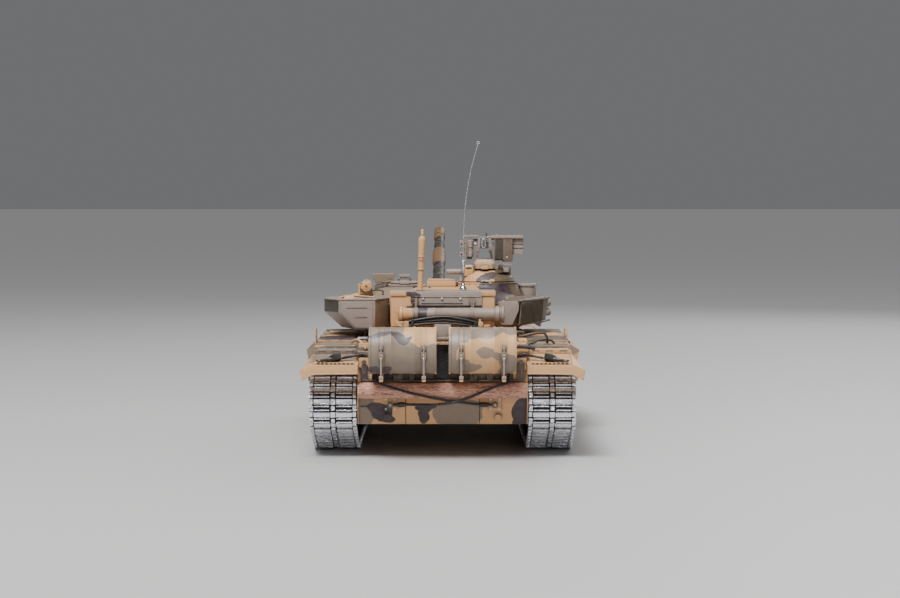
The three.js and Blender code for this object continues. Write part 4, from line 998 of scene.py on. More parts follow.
ROPE_START = [
    (-84, -204.6, 79), (-73, -201.6, 80.8), (-62, -200.9, 82.2), (-57, -201.2, 77), (-53.2, -203.6, 70.6),
    (-51.6, -209, 65.4), (-50.7, -212.7, 62.2), (-47.8, -213.9, 60.2),
]
ROPE_OVER_LOG = {
    "left": [(-38, -215.2, 57.2), (-23.5, -215.6, 53), (-7, -213.8, 49.3), (6, -210.8, 47),
             (18, -207.4, 45), (29.6, -204.4, 43.4)],
    "right": [(38, -215.2, 57.2), (24, -215.4, 51.2), (12, -214.2, 47), (4, -213.4, 45.2),
              (-6, -210.6, 43.9), (-17, -206.9, 43.6), (-29.6, -204.4, 43.4)],
}
ROPE_SPARE_TURN = [
    (53.2, -203.6, 70.6), (54, -201.3, 80), (56.2, -200.9, 87.2), (61, -200.9, 88.9), (66, -200.9, 88.3),
    (70.5, -201, 87.6),
]


def rope(points, radius=1.1, strands=4, lay=7.0):
    """Twisted strands round a core. lay is the length of one full turn."""
    length = sum((Vector(b) - Vector(a)).length for a, b in zip(points, points[1:]))
    route = curve_through(points, round(length / 0.7))
    frames = frames_along(route)
    step = (route[1] - route[0]).length
    shapes = []
    for strand in range(strands):
        path = []
        for i, (point, _, one, two) in enumerate(frames):
            angle = 2 * math.pi * (i * step / lay + strand / strands)
            path.append(point + (one * math.cos(angle) + two * math.sin(angle)) * radius * 0.52)
        shapes.append(tube(path, radius * 0.52, 6))
    shapes.append(tube(route, radius * 0.5, 6))
    return shapes


def tow_cable(side, sign):
    """A braided cable with a swaged socket and an eye at each end."""
    piece = Piece(f"cable_{side}_detail")
    start = [(-sign * x, y, z) for x, y, z in ROPE_START]
    route = start + ROPE_OVER_LOG[side]
    piece.add(black_braid, *rope(route))
    if side == "right":
        piece.add(black_braid, *rope(ROPE_SPARE_TURN))
        sleeve = curve_through([(58.5, -200.9, 88.6), (65, -200.9, 88.5), (72.6, -201.1, 87.2)], 12)
        piece.add(dark_plastic, tube(sleeve, 1.6, 14))
    ends = [
        (route[0], Vector((sign * 96, -210.4, 78.2)), "z"),
        (route[-1], Vector((-sign * 41, -204.4, 43.2)), "y"),
    ]
    for end, eye, axis in ends:
        end = Vector(end)
        along = (eye - end).normalized()
        reach = (eye - end).length
        socket = [end - along * 1.5, end, end + along * reach * 0.18, end + along * reach * 0.5,
                  end + along * (reach - 2.2)]
        widths = [1.35, 1.9, 2.1, 1.3, 0.9]
        if axis == "z":
            socket = [end - along * 4.4, end - along * 3.2, end + along * 1.4, end + along * 4.4,
                      end + along * (reach - 1.6)]
            widths = [1.4, 2.2, 2.2, 1.25, 1.15]
            body = [(79, 79.4), (88.8, 77.8), (89, 81.2), (86.2, 82.9), (80, 83.8)]
            piece.add(dark_plastic, prism("y", [(sign * x, z) for x, z in body], -207.6, -202.4, 0.9))

        def width(share, widths=widths):
            at = share * (len(widths) - 1)
            low = min(int(at), len(widths) - 2)
            return widths[low] + (widths[low + 1] - widths[low]) * (at - low)

        piece.add(dark_plastic, bent_bar(socket, 16, width, 16))
        rim = [(-0.8, 1.4), (-0.8, 2.3), (-0.4, 2.6), (0.4, 2.6), (0.8, 2.3), (0.8, 1.4), (-0.8, 1.4)]
        piece.add(gunmetal, lathe(axis, rim, eye, 28))
    piece.finish("hull", "rope", f"tow_cable_{side}")


# ------------------------------------------------------------------ fenders, deck and bow


def mudguard(side, sign):
    """The stern mudguard's sloping cover, its rolled edges, rivets and straps, and the clutter beside it."""
    piece = Piece(f"mudguard_{side}")

    def top(y):
        return 75.3 + (y + 217) * (80.5 - 75.3) / 49

    lip = [(66, 75.5), (102, 75.5), (106, 74), (109.6, 71.6), (110.6, 69), (110, 65.6), (109.4, 63.3),
           (107, 64.4), (102, 67.2), (98, 68.0), (66, 68.4)]
    piece.add(fender_paint, prism("y", [(sign * x, z) for x, z in lip], -217.7, -215.4, 0.7))
    bead = [(sign * 66.3, -217.4, 68.6), (sign * 98, -217.4, 68.2), (sign * 103, -217.4, 67),
            (sign * 109.4, -217.4, 63.6)]
    piece.add(fender_paint, bent_bar(bead, 30, 0.55, 8))
    for y0, y1 in ((-214.5, -199), (-197.5, -184), (-182.5, -169)):
        slab = [(y0, top(y0) - 0.6), (y1, top(y1) - 0.6), (y1, top(y1) + 0.5), (y0, top(y0) + 0.5)]
        piece.add(fender_paint, prism("x", slab, *pair(sign, 68, 100.5), 0.35))
    for k in range(9):
        x = 69.4 + 3.3 * k
        piece.add(dark_plastic, side_box(sign, (x, -215.5, 75), (x + 1.7, -214.6, 76.8), 0.25))
        piece.add(fender_paint, side_box(sign, (x + 1.8, -215.6, 75), (x + 2.7, -214.4, 77.2), 0.25))
    for k in range(6):
        y = -210 + 8 * k
        piece.add(fender_paint, dome((sign * 101.2, y, top(y) + 0.1), UP, 0.7, 0.5))
    piece.add(fender_paint, side_box(sign, (69, -168, 80), (101, -150, 84.2), 0.8))
    for x in (74, 85, 96):
        piece.add(fender_paint, side_box(sign, (x - 2, -169.2, 79.5), (x + 2, -167.4, 83.2), 0.4))
        piece.add(gunmetal, round_bar("x", -2.6, 2.6, 0.7, (sign * x, -168.8, 83.4), 10))
    piece.add(fender_paint, side_box(sign, (58, -196, 84), (66, -176, 91), 0.8),
              side_box(sign, (60, -188, 87), (67, -160, 93), 1))
    piece.add(stern_paint, side_box(sign, (57.6, -203, 70.5), (65.6, -198.8, 80), 0.6))
    piece.add(gunmetal, round_bar("y", -2, 1, 1.6, (sign * 61.6, -203, 76.6), 16))
    clamp = [(sign * 80, -206, top(-206) + 0.2), (sign * 80, -205.4, 81.2), (sign * 88, -206.6, 82),
             (sign * 88, -207.6, top(-207) + 0.2)]
    piece.add(fender_paint, bent_bar(clamp, 20, 0.6, 8))
    if side == "right":
        hook = [(60.2, -147, 97), (63.4, -146, 96.9), (65.2, -145.5, 96.2), (63.6, -145, 95.1),
                (60.4, -145, 94.6), (61.6, -145, 93.4), (65.5, -146, 93.9), (70.4, -146, 95.1),
                (76, -145, 96.1), (82, -142, 95.4), (84.5, -136, 91.5), (85, -130, 87)]
        piece.add(olive_paint, bent_bar(hook, 64, 1.0, 10),
                  bent_bar([(60.2, -147, 97), (57, -148, 95), (56, -149, 84)], 14, 1.0, 10))
        wire = [(66, -152, 84), (69.3, -151, 87.3), (74.4, -150, 88.7), (76.2, -150, 90.2),
                (83, -149, 90.8), (88, -145, 89.6), (91, -138, 86)]
        piece.add(black_rubber, bent_bar(wire, 36, 0.75, 10))
    else:
        piece.add(grey_paint, box((-68, -190, 84), (-59, -181, 92), 0.8),
                  box((-66, -178, 84), (-58, -168, 90), 0.8))
        piece.add(fender_paint, bent_bar([(-60, -197, 86), (-66, -190, 93), (-72, -176, 91)], 24, 1.0, 10))
        piece.add(gunmetal, round_bar("x", -4, 4, 2, (-63, -186, 93.6), 20, 0.4))
    piece.finish("hull", "sand")


def fender_box(piece, sign, y0, y1, top):
    """A stowage box on the fender: body, lid, two straps, latches and a carrying handle."""
    piece.add(fender_paint, side_box(sign, (70.6, y0, FENDER_Z), (102.2, y1, top - 2.2), 0.9),
              side_box(sign, (70, y0 - 0.5, top - 2.4), (102.9, y1 + 0.5, top + 0.3), 0.8),
              side_box(sign, (74, y0 + 4, top), (98.6, y1 - 4, top + 0.9), 0.5))
    for y in (y0 + 9, y1 - 9):
        piece.add(dark_camouflage,
                  side_box(sign, (69.6, y - 1.3, top + 0.2), (103.4, y + 1.3, top + 0.75), 0.2),
                  side_box(sign, (102.4, y - 1.3, FENDER_Z + 1), (103.3, y + 1.3, top + 0.3), 0.2))
        piece.add(steel, side_box(sign, (103, y - 1.9, top - 7.4), (104, y + 1.9, top - 4.4), 0.3))
    for x in (78, 86.5, 95):
        piece.add(fender_paint,
                  side_box(sign, (x - 1.6, y0 - 1.1, top - 6), (x + 1.6, y0 + 0.5, top - 1.4), 0.35))
        piece.add(gunmetal, dome((sign * x, y0 - 1.1, top - 4.6), AFT, 0.6))
    middle_y = (y0 + y1) / 2
    grip = [(sign * 102.4, middle_y - 5, top - 7), (sign * 104.6, middle_y - 4.4, top - 7),
            (sign * 104.6, middle_y + 4.4, top - 7), (sign * 102.4, middle_y + 5, top - 7)]
    piece.add(gunmetal, bent_bar(grip, 20, 0.5, 8))


def fenders(side, sign):
    """The row of boxes along one fender, its stiffening beads and the bow mudguard's ribs."""
    piece = Piece(f"fender_{side}")
    for y0, y1, top in FENDER_BOXES:
        fender_box(piece, sign, y0, y1, top)
    edge = [(sign * 110.2, y, 70.6) for y in (-166, 150)]
    piece.add(fender_paint, tube(edge, 0.7, 8))
    for k in range(14):
        piece.add(steel, bolt((sign * 107.2, -160 + 23 * k, 72.6), (sign * 0.5, 0, 1), 0.7))
    x0, x1 = pair(sign, 72, 104)
    for k in range(4):
        y = 112 + 20 * k
        piece.add(fender_paint, box((x0, y, FENDER_Z + 1.2), (x1, y + 15, FENDER_Z + 2.6), 0.5))
    for angle in (20, 45, 70):
        a = math.radians(angle)
        centre = (196 + 26 * math.sin(a), 43 + 25.6 * math.cos(a))
        piece.add(fender_paint, tube([(x0, *centre), (x1, *centre)], 0.8, 10))
    lamp = Vector((sign * 78, 158, 76))
    piece.add(dark_camouflage,
              lathe("y", [(-6, 0), (-5, 4), (-2, 6), (5, 6.4), (5, 5.4), (3.6, 5.2), (3.6, 0)], lamp, 32))
    piece.add(lens, lathe("y", [(3.5, 0), (3.5, 5.1), (4.3, 4), (4.8, 0)], lamp, 32))
    guard = [(lamp.x - 8, 162, 69), (lamp.x - 8, 163, 82), (lamp.x, 163.4, 85.4), (lamp.x + 8, 163, 82),
             (lamp.x + 8, 162, 69)]
    piece.add(camouflage, bent_bar(guard, 30, 0.8, 8),
              box((lamp.x - 2, 150, 68), (lamp.x + 2, 160, 71), 0.4))
    piece.finish("hull", "sand")


def deck():
    """Grilles, hatches, screws and handles on the engine deck."""
    piece = Piece("deck_fittings")
    top = DECK_Z + 1.2
    for y0, y1 in ((-181, -151), (-145, -105)):
        count = int((y1 - y0) / 3.2)
        for k in range(count):
            y = y0 + 1.6 + 3.2 * k
            slat = [(y - 1.2, top + 0.1), (y + 0.9, top + 0.1), (y + 1.4, top + 1.9), (y + 0.5, top + 1.9)]
            piece.add(dark_camouflage, prism("x", slat, -46, 46, 0.2))
        for x in (-49, -1.5, 46):
            piece.add(fender_paint, box((x, y0, top - 0.4), (x + 3, y1, top + 2.2), 0.4))
        for x in (-47.5, 0, 47.5):
            for y in (y0 + 3, (y0 + y1) / 2, y1 - 3):
                piece.add(steel, bolt((x, y, top + 2.2), UP, 0.8))
        for y in (y0 - 1.4, y1 - 1):
            piece.add(fender_paint, box((-49, y, top - 0.4), (49, y + 2.4, top + 2.2), 0.4))
    for x0, x1 in ((-57, -13), (-5, 57)):
        piece.add(fender_paint, box((x0, -97, top - 0.4), (x1, -65, top + 0.9), 0.5))
        piece.add(gunmetal, bent_bar([(x0 + 12, -75, top + 0.6), (x0 + 13, -75, top + 3.4),
                                                (x0 + 23, -75, top + 3.4), (x0 + 24, -75, top + 0.6)], 24,
                                                0.7, 8))
        for x in (x0 + 3, x1 - 3):
            for y in (-94, -81, -68):
                piece.add(steel, bolt((x, y, top + 0.9), UP, 0.9))
    for _, sign in SIDES:
        rail = [(sign * 62, -186, DECK_Z + 0.6), (sign * 62, -70, DECK_Z + 0.6)]
        piece.add(fender_paint, tube(rail, 0.9, 8))
        for k in range(8):
            piece.add(fender_paint, bolt((sign * 58, -184 + 15 * k, DECK_Z), UP, 0.8))
    piece.add(fender_paint,
              lathe("z", [(88, 0), (88, 14.4), (89.4, 14.4), (90.2, 13.2), (90.6, 8), (90.8, 0)],
                                  (0, 118, 0), 56))
    piece.add(gunmetal,
              bent_bar([(-5, 112, 90.4), (-4, 112, 92.6), (4, 112, 92.6), (5, 112, 90.4)], 20, 0.6, 8))
    for x in (-15, 0, 15):
        scope = [(x - 4.4, DECK_Z - 0.5), (x + 4.4, DECK_Z - 0.5), (x + 3.8, DECK_Z + 4.4),
                 (x - 3.8, DECK_Z + 4.4)]
        piece.add(dark_camouflage, prism("y", scope, 133, 140, 0.5))
        piece.add(lens, box((x - 3.2, 139.8, DECK_Z + 0.9), (x + 3.2, 140.3, DECK_Z + 3.7), 0.15))
    ring = [(88, 70), (89.6, 70), (89.6, 66.5), (88, 66.5), (88, 70)]
    piece.add(fender_paint, lathe("z", ring, (0, TURRET_Y, 0), 72))
    piece.finish("hull", "sand")


def bow():
    """Armour bricks on the glacis, the wave breaker, tow hooks and spare links on the bow."""
    piece = Piece("bow_fittings")
    slope = (DECK_Z - 62) / (143 - 212)
    tilt = math.atan(slope)

    def glacis(y):
        return 62 + slope * (y - 212)

    for y in (168.5, 192.5):
        for x in (-52.6, -37.6, -22.6, -7.6, 7.6, 22.6, 37.6, 52.6):
            brick = box((-7, -10.6, -1), (7, 10.6, 4), 0.9)
            add_to(brick, box((-5, -8.4, 3.8), (5, 8.4, 4.6), 0.4))
            turn = Matrix.Translation((x, y, glacis(y))) @ Matrix.Rotation(tilt, 4, "X")
            piece.add(fender_paint, transformed(brick, turn))
            for dx in (-5.6, 5.6):
                for dy in (-9.3, 9.3):
                    piece.add(steel, transformed(bolt((dx, dy, 3.9), UP, 0.6), turn))
    board = [(152, 84), (155.5, 89), (156.6, 88.6), (154, 82.6)]
    piece.add(fender_paint, prism("x", board, -58, 58, 0.3))
    for _, sign in SIDES:
        hook = [(sign * 44, 211, 58), (sign * 44, 217, 59), (sign * 44, 219.4, 55), (sign * 44, 217, 51.4),
                (sign * 44, 211.6, 52.6)]
        piece.add(gunmetal, bent_bar(hook, 30, 1.5, 12))
        piece.add(stern_paint, box((sign * 44 - 5, 208, 49), (sign * 44 + 5, 212.6, 60), 0.6))
    blade = [(207, 50), (173, 29.4), (172, 28), (174.4, 27), (210, 48.6), (211, 52)]
    piece.add(camouflage, prism("x", blade, -58, 58, 0.5))
    for x in (-40, -20, 0, 20, 40):
        piece.add(camouflage,
                  prism("x", [(209, 48), (176, 27.6), (178, 26.8), (211, 46.6)], x - 1.2, x + 1.2, 0.4))
    piece.finish("hull", "sand")


def belly():
    """Screws and the sprung latch on the underside, and caps on the return rollers' shafts."""
    piece = Piece("belly_fittings")
    for x in (-56, -38, 38, 56):
        for y in (-176, -136, -96, -30, 30, 96, 150):
            piece.add(steel, dome((x, y, 27.05), DOWN, 1.8, 0.5, 14))
    for x0, x1, y0, y1 in ((-60, -30, -150, -100), (30, 60, -150, -100), (-60, 60, 90, 140)):
        piece.add(camouflage, box((x0, y0, 26.3), (x1, y1, 27.4), 0.4))
    for _, sign in SIDES:
        for y in (-93, 13.5, 120):
            roller = [(66, 0), (66, 2.4), (67, 2.4), (67, 4.3), (73.5, 4.3), (73.9, 3.6), (73.9, 1.6),
                      (74.3, 1.2), (74.3, 0)]
            piece.add(tyre_rubber, lathe("x", [(sign * a, b) for a, b in roller], (0, y, 54), 32))
    piece.finish("hull", "grey")


# ------------------------------------------------------------------ turret

TURRET_RINGS = [
    (90, 64, 66, 0), (96, 72.5, 76, 2), (103, 79, 84, 4), (108, 79.2, 84.4, 4), (112, 78, 83, 4),
    (117, 72.6, 76, 1), (121, 66, 66, -2), (124.6, 58.5, 58.5, -4), (127.0, 51, 51, -6),
    (127.8, 46, 46, -6), (128.0, 0, 0, -6),
]
TURRET_TURN = Matrix.Translation((0, TURRET_Y, 0))


def turret_shell():
    """The cast turret: a rounded low dome with welds, wedges of armour, and what is moulded on it."""
    piece = Piece("turret_cast")
    sides = 96
    shape = bmesh.new()
    rings = []
    for z, rx, ry, shift in TURRET_RINGS:
        ring = []
        for i in range(sides if rx else 1):
            a = 2 * math.pi * i / sides
            rough = 0.25 * noise.noise(Vector((math.cos(a) * 6, math.sin(a) * 6, z * 0.12))) if rx else 0
            ring.append(shape.verts.new(((rx + rough) * math.cos(a), shift + (ry + rough) * math.sin(a),
                                         z)))
        rings.append(ring)
    shape.faces.new(rings[0][::-1])
    skin(shape, rings)
    bmesh.ops.recalc_face_normals(shape, faces=shape.faces)
    piece.add(turret_paint, shape)
    collar = [(-5, 46), (-1, 46), (-1, 60), (0.6, 62), (0.6, 0), (-5, 0)]
    piece.add(dark_camouflage, lathe("z", [(90 + a, b) for a, b in collar], segments=72))
    for _, sign in SIDES:
        for turn in (24, 43, 62):
            wedge = prism("x", [(60, 99), (68, 99), (93, 106), (93, 109), (66, 122), (60, 112)], -12.3,
                          12.3, 0.9)
            add_to(wedge, prism("x", [(70, 98.2), (92, 104.6), (92.6, 103.6), (70, 97)], -11, 11, 0.3))
            matrix = Matrix.Rotation(math.radians(-sign * turn), 4, "Z")
            piece.add(camouflage, transformed(wedge, matrix))
            for x in (-9.5, 9.5):
                for y, z in ((72, 120.1), (87, 112.8)):
                    piece.add(steel, transformed(bolt((x, y, z), (0, 0.43, 0.9), 0.8), matrix))
        x = 37 if sign > 0 else -45
        piece.add(camouflage, box((x - 9, 80, 112), (x + 9, 92.4, 127), 1.2),
                  box((x - 3, 60, 112), (x + 3, 82, 118), 0.6))
        piece.add(lens, box((x - 7, 92.2, 114), (x + 7, 93, 125), 0.4))
        for bar_z in (115.5, 119.5, 123.5):
            piece.add(dark_camouflage, box((x - 8, 92.8, bar_z - 0.5), (x + 8, 93.6, bar_z + 0.5), 0.2))
    for k in range(40):
        a = math.radians(200 + 140 * k / 39)
        piece.add(turret_paint,
                  dome((64 * math.cos(a), -2.5 + 64 * math.sin(a), 121.9), (math.cos(a), math.sin(a), 1),
                       0.6))
    piece.finish("turret", "sand", "turret_shell", turn=TURRET_TURN)


def cone_tier(z0, r0, z1, r1, centre):
    """One tier of the cupola's stand, with a rolled lower and upper edge."""
    profile = [(z0, 0), (z0, r0), (z0 + 0.9, r0 + 0.25), (z0 + 1.7, r0 - 0.4), (z1 - 1.4, r1 + 0.6),
               (z1 - 0.8, r1 + 0.9), (z1 - 0.2, r1 + 0.5), (z1, r1 - 0.2), (z1, 0)]
    return lathe("z", profile, centre, 72)


def roof():
    """The cupola's stand, sights, lids, lamps, handles and a periscope or two on the roof."""
    piece = Piece("turret_roof")
    at = (CUPOLA.x, CUPOLA.y - TURRET_Y, 0)
    piece.add(cupola_stand_paint, cone_tier(117.5, 32, 131.8, 25.5, at))
    for c, s in circle(26):
        piece.add(cupola_stand_paint, dome((at[0] + 26.6 * c, at[1] + 26.6 * s, 130.2), (c, s, 0.6), 0.55))
    hood = [(-57, 12, 127), (-48, 12, 127), (-57, 30, 127), (-48, 30, 127), (-62, 12, 134.4),
            (-43, 12, 134.4), (-62, 30, 134.4), (-43, 30, 134.4), (-62, 12, 138), (-43, 12, 138),
            (-62, 30, 138), (-43, 30, 138)]
    piece.add(grey_paint, hull(hood, 0.8))
    for x in (-58, -52.5, -47):
        piece.add(grey_paint, dome((x, 13.5, 137.9), UP, 0.8))
    piece.add(lens, box((-59, 29.8, 130.5), (-46, 30.5, 136.5), 0.3))
    piece.add(olive_paint, box((-60, 8, 112), (-49.6, 30, 127.6), 1.0),
              box((-58, 6.8, 116), (-52, 8.4, 124), 0.5))
    for z in (116.5, 119, 121.5):
        piece.add(olive_paint, box((-48.8, 6, z), (-40, 9, z + 1.2), 0.3))
    piece.add(pale_grey_paint, box((-38, 16, 123), (-30, 26, 137), 0.9),
              box((-38.8, 15.4, 134.6), (-29.2, 26.6, 137.1), 0.4))
    piece.add(lens, box((-37, 25.8, 130), (-31, 26.4, 134), 0.2))
    piece.add(sand_paint, box((-14, -28, 123), (11, 0, 133.2), 1.4),
              box((-13, -27, 133), (10, -1, 134.2), 0.7))
    for x, y in ((-11.5, -25.5), (8.5, -25.5), (-11.5, -2.5), (8.5, -2.5)):
        piece.add(sand_paint, bolt((x, y, 134), UP, 0.8))
    piece.add(sand_paint, box((-12, -29, 126), (9, -27.8, 127.2), 0.3))
    for k in range(6):
        piece.add(sand_paint, bolt((-10 + 3.6 * k, 2, 129.8 + (k % 2) * 1.4), UP, 1.3, 2.2))
    vent = [(113.4, 0), (113.4, 8.3), (126.4, 8.3), (126.4, 7.5), (127.4, 7.5), (127.4, 8.7), (129.2, 8.7),
            (129.7, 8), (129.7, 0)]
    piece.add(pale_grey_paint, lathe("z", vent, (73, 4, 0), 48))
    piece.add(grey_paint,
              *[dome((73 + 8.6 * c, 4 + 8.6 * s, 128.4), (c, s, 0), 0.5) for c, s in circle(12)])
    hatch_ring = [(122, 0), (122, 14.5), (129.4, 14.5), (130, 13.9), (130, 12.9), (129.2, 12.7), (129.2, 0)]
    piece.add(pale_grey_paint, lathe("z", hatch_ring, (-33, -14, 0), 64))
    piece.add(dark_plastic, round_bar("z", 129.0, 129.45, 12.2, (-33, -14, 0), 48))
    for x, y, heading in ((-50, -8, 110), (-46, 6, 60), (-33, 6, 5)):
        scope = box((-3, -2.6, 0), (3, 2.6, 5.2), 0.5)
        add_to(scope, box((-3.4, -3.2, 4.4), (3.4, 3, 5.6), 0.3))
        glass = box((-2.3, 2.4, 1.6), (2.3, 2.9, 4.2), 0.15)
        turn = Matrix.Translation((x, y, 126.6)) @ Matrix.Rotation(math.radians(heading), 4, "Z")
        piece.add(grey_paint, transformed(scope, turn))
        piece.add(lens, transformed(glass, turn))
    lamp = Vector((-66, -26, 129))
    barrel = [(-6.2, 0), (-6.2, 1.1), (-5.7, 1.1), (-5.7, 3.3), (-5.2, 3.9), (-5.2, 4.9), (5.4, 5.0),
              (5.6, 4.2), (5, 4), (5, 0)]
    piece.add(sand_paint, lathe("y", barrel, lamp, 40))
    piece.add(dark_plastic, round_bar("y", -6.35, -6, 0.75, lamp, 16))
    for c, s in circle(6, 0.5):
        piece.add(sand_paint, dome((lamp.x + 4.4 * c, lamp.y - 5.2, lamp.z + 4.4 * s), AFT, 0.6))
    piece.add(lens, lathe("y", [(4.9, 0), (4.9, 3.9), (5.5, 3), (5.8, 0)], lamp, 32))
    saddle = [(5.1 * math.cos(a),
               5.1 * math.sin(a)) for a in (math.radians(200 + 14 * k) for k in range(11))]
    piece.add(pale_grey_paint, tube([(lamp.x + x, lamp.y - 1, lamp.z + z) for x, z in saddle], 0.8, 8))
    piece.add(sand_paint, box((-73, -28, 119), (-71, -22, 130.6), 0.5),
              box((-72, -26.6, 121), (-52, -23.4, 125.4), 0.6),
              prism("y", [(-72, 120), (-64, 120), (-72, 127)], -25.6, -24.4, 0.2))
    for route in (
        [(-24, -44, 125), (-24, -45, 129), (-12, -50, 129), (-12, -49, 124)],
        [(-8, 8, 127.5), (-8, 8, 132), (4, 12, 132), (4, 12, 127.5)],
        [(-60, -46, 121), (-61, -47, 125), (-52, -52, 126), (-51, -51, 122)],
    ):
        piece.add(gunmetal, bent_bar(route, 24, 0.7, 8))
    piece.finish("turret", "sand", turn=TURRET_TURN)


def rear_box():
    """The stowage box on the turret's stern: cover panel, lid, slot, screws and clips."""
    piece = Piece("stowage_detail")
    rear = -107.3
    piece.add(sand_paint,
              hull([(-43, rear + 0.9, 98.2), (43, rear + 0.9, 98.2), (-43, rear + 0.9, 124.6),
                    (43, rear + 0.9, 124.6),
                                (-43, -66, 98.2), (43, -66, 98.2), (-43, -66, 124.6), (43, -66, 124.6)],
                                0.7))
    piece.add(box_paint, box((-43.8, rear + 6, 124.3), (43.8, -64, 127.2), 0.6))
    for x0, x1 in ((-43.8, -30.2), (31, 43.8)):
        piece.add(sand_paint, box((x0, rear - 0.2, 123.6), (x1, rear + 7, 127.4), 0.6))
    piece.add(box_paint, box((-30, rear + 0.1, 123.9), (30.8, rear + 7, 127.1), 0.6))
    cover = [(-26.5, 126.2), (32.4, 126.2), (32.4, 115.6), (-22, 115.6), (-26.5, 118.2)]
    piece.add(box_paint, prism("y", cover, rear - 0.7, rear + 1.4, 0.5),
              box((-24, rear - 1.2, 122.6), (31.8, rear - 0.2, 123.4), 0.3))
    piece.add(dark_plastic, box((-17.5, rear - 1.0, 117.0), (16.6, rear - 0.6, 117.7), 0.1))
    for x in (-16.4, -0.6, 14.6):
        piece.add(steel, bolt((x, rear - 0.8, 121.2), AFT, 0.9))
    for k in range(18):
        piece.add(box_paint, dome((-27 + 3.3 * k, rear + 5.2, 127.1), UP, 0.5))
    for x in (-23.2, 24.8):
        piece.add(box_paint, box((x - 2.6, rear - 1.9, 117.6), (x + 2.2, rear, 121.4), 0.5))
        piece.add(steel,
                  lathe("z", [(110.8, 0), (110.8, 1.1), (113, 1.1), (113, 0.75), (119.6, 0.75), (119.6, 0)],
                               (x + 0.6, rear - 1.6, 0), 14))
        piece.add(dark_plastic, dome((x - 1.2, rear - 1.9, 119.6), AFT, 0.8))
    piece.add(dark_camouflage, box((-30, rear + 0.4, 111), (32.6, rear + 1.4, 115.4), 0.3))
    for _, sign in SIDES:
        piece.add(sand_paint, box((sign * 43.2 - 0.6, -98, 101), (sign * 43.2 + 0.6, -72, 121), 0.4))
        piece.add(gunmetal,
                  bent_bar([(sign * 43.6, -92, 116), (sign * 45.2, -91, 116), (sign * 45.2, -79, 116),
                                                (sign * 43.6, -78, 116)], 20, 0.6, 8))
    piece.finish("turret", "sand", "rear_stowage_box", turn=TURRET_TURN)


def left_bin():
    """The left side bin: flat stern face with a seam inside its border and two slots."""
    piece = Piece("bin_left_detail")
    body = [
        (-87, -92, 119.6), (-87, -92, 108.9), (-73, -92, 94.9), (-56.6, -92, 94.9), (-56.6, -92, 119.6),
        (-44.8, -70, 119.6), (-44.8, -70, 94.9), (-100.5, -55, 119), (-100.5, -55, 108), (-86, -55, 94.9),
        (-97, -14, 118.5), (-97, -14, 107.5), (-84, -14, 95), (-60, -14, 119), (-60, -14, 95),
    ]
    piece.add(bin_paint, hull(body, 0.6))
    # painted shade: a thin near-black plate over the bin's outer quarter face, standing in for the shade on
    # that face
    quarter = [(-87.3, -92, 119.3), (-87.3, -92, 109.2), (-100.8, -55, 118.7), (-100.8, -55, 108.3),
               (-97.3, -14, 118.2), (-97.3, -14, 107.8)]
    piece.add(shaded_quarter_paint, hull(quarter + [(x + 1, y + 0.4, z) for x, y, z in quarter], 0.3))
    panel = [(-85.2, 118.2), (-58.4, 118.2), (-58.4, 96.2), (-72.6, 96.2), (-85.2, 108.8)]
    piece.add(bin_paint, prism("y", panel, -92.7, -91, 0.3))
    for x0, x1, z in ((-80.6, -63.2, 112.9), (-73.4, -63.2, 104.9)):
        piece.add(dark_plastic, box((x0, -92.95, z - 0.28), (x1, -92.5, z + 0.28), 0.08))
    for x, z in ((-84, 117), (-59.6, 117), (-59.6, 97.4), (-72.4, 97.4), (-84, 109.6)):
        piece.add(bin_paint, dome((x, -92.7, z), AFT, 0.45, 0.3))
    piece.add(bin_paint,
              hull([(-88, -92.4, 119.2), (-56, -92.4, 119.2), (-101.2, -55, 118.7), (-97.6, -14, 118.2),
                               (-60, -14, 118.6), (-45, -70, 119.2), (-88, -92.4, 120.4),
                               (-56, -92.4, 120.4), (-101.2, -55, 119.8), (-97.6, -14, 119.2),
                               (-60, -14, 119.8), (-45, -70, 120.4)], 0.3))
    for k in range(6):
        x, y = -84 + 1.0 * k, -84 + 11 * k
        piece.add(sand_paint,
                  hull([(x, y, 119.6), (x + 9, y + 1, 119.6), (x, y + 7, 119.6), (x + 9, y + 8, 119.6),
                                    (x + 2, y + 2, 122.2), (x + 7, y + 3, 122.6), (x + 2, y + 6, 121.4)],
                                    0.6))
    strap = [(-88, -70, 119.8), (-80, -66, 122), (-68, -62, 121.2), (-58, -60, 120.4)]
    piece.add(sand_paint, bent_bar(strap, 24, 0.9, 8))
    piece.finish("turret", "grey", "side_bin_left", turn=TURRET_TURN)


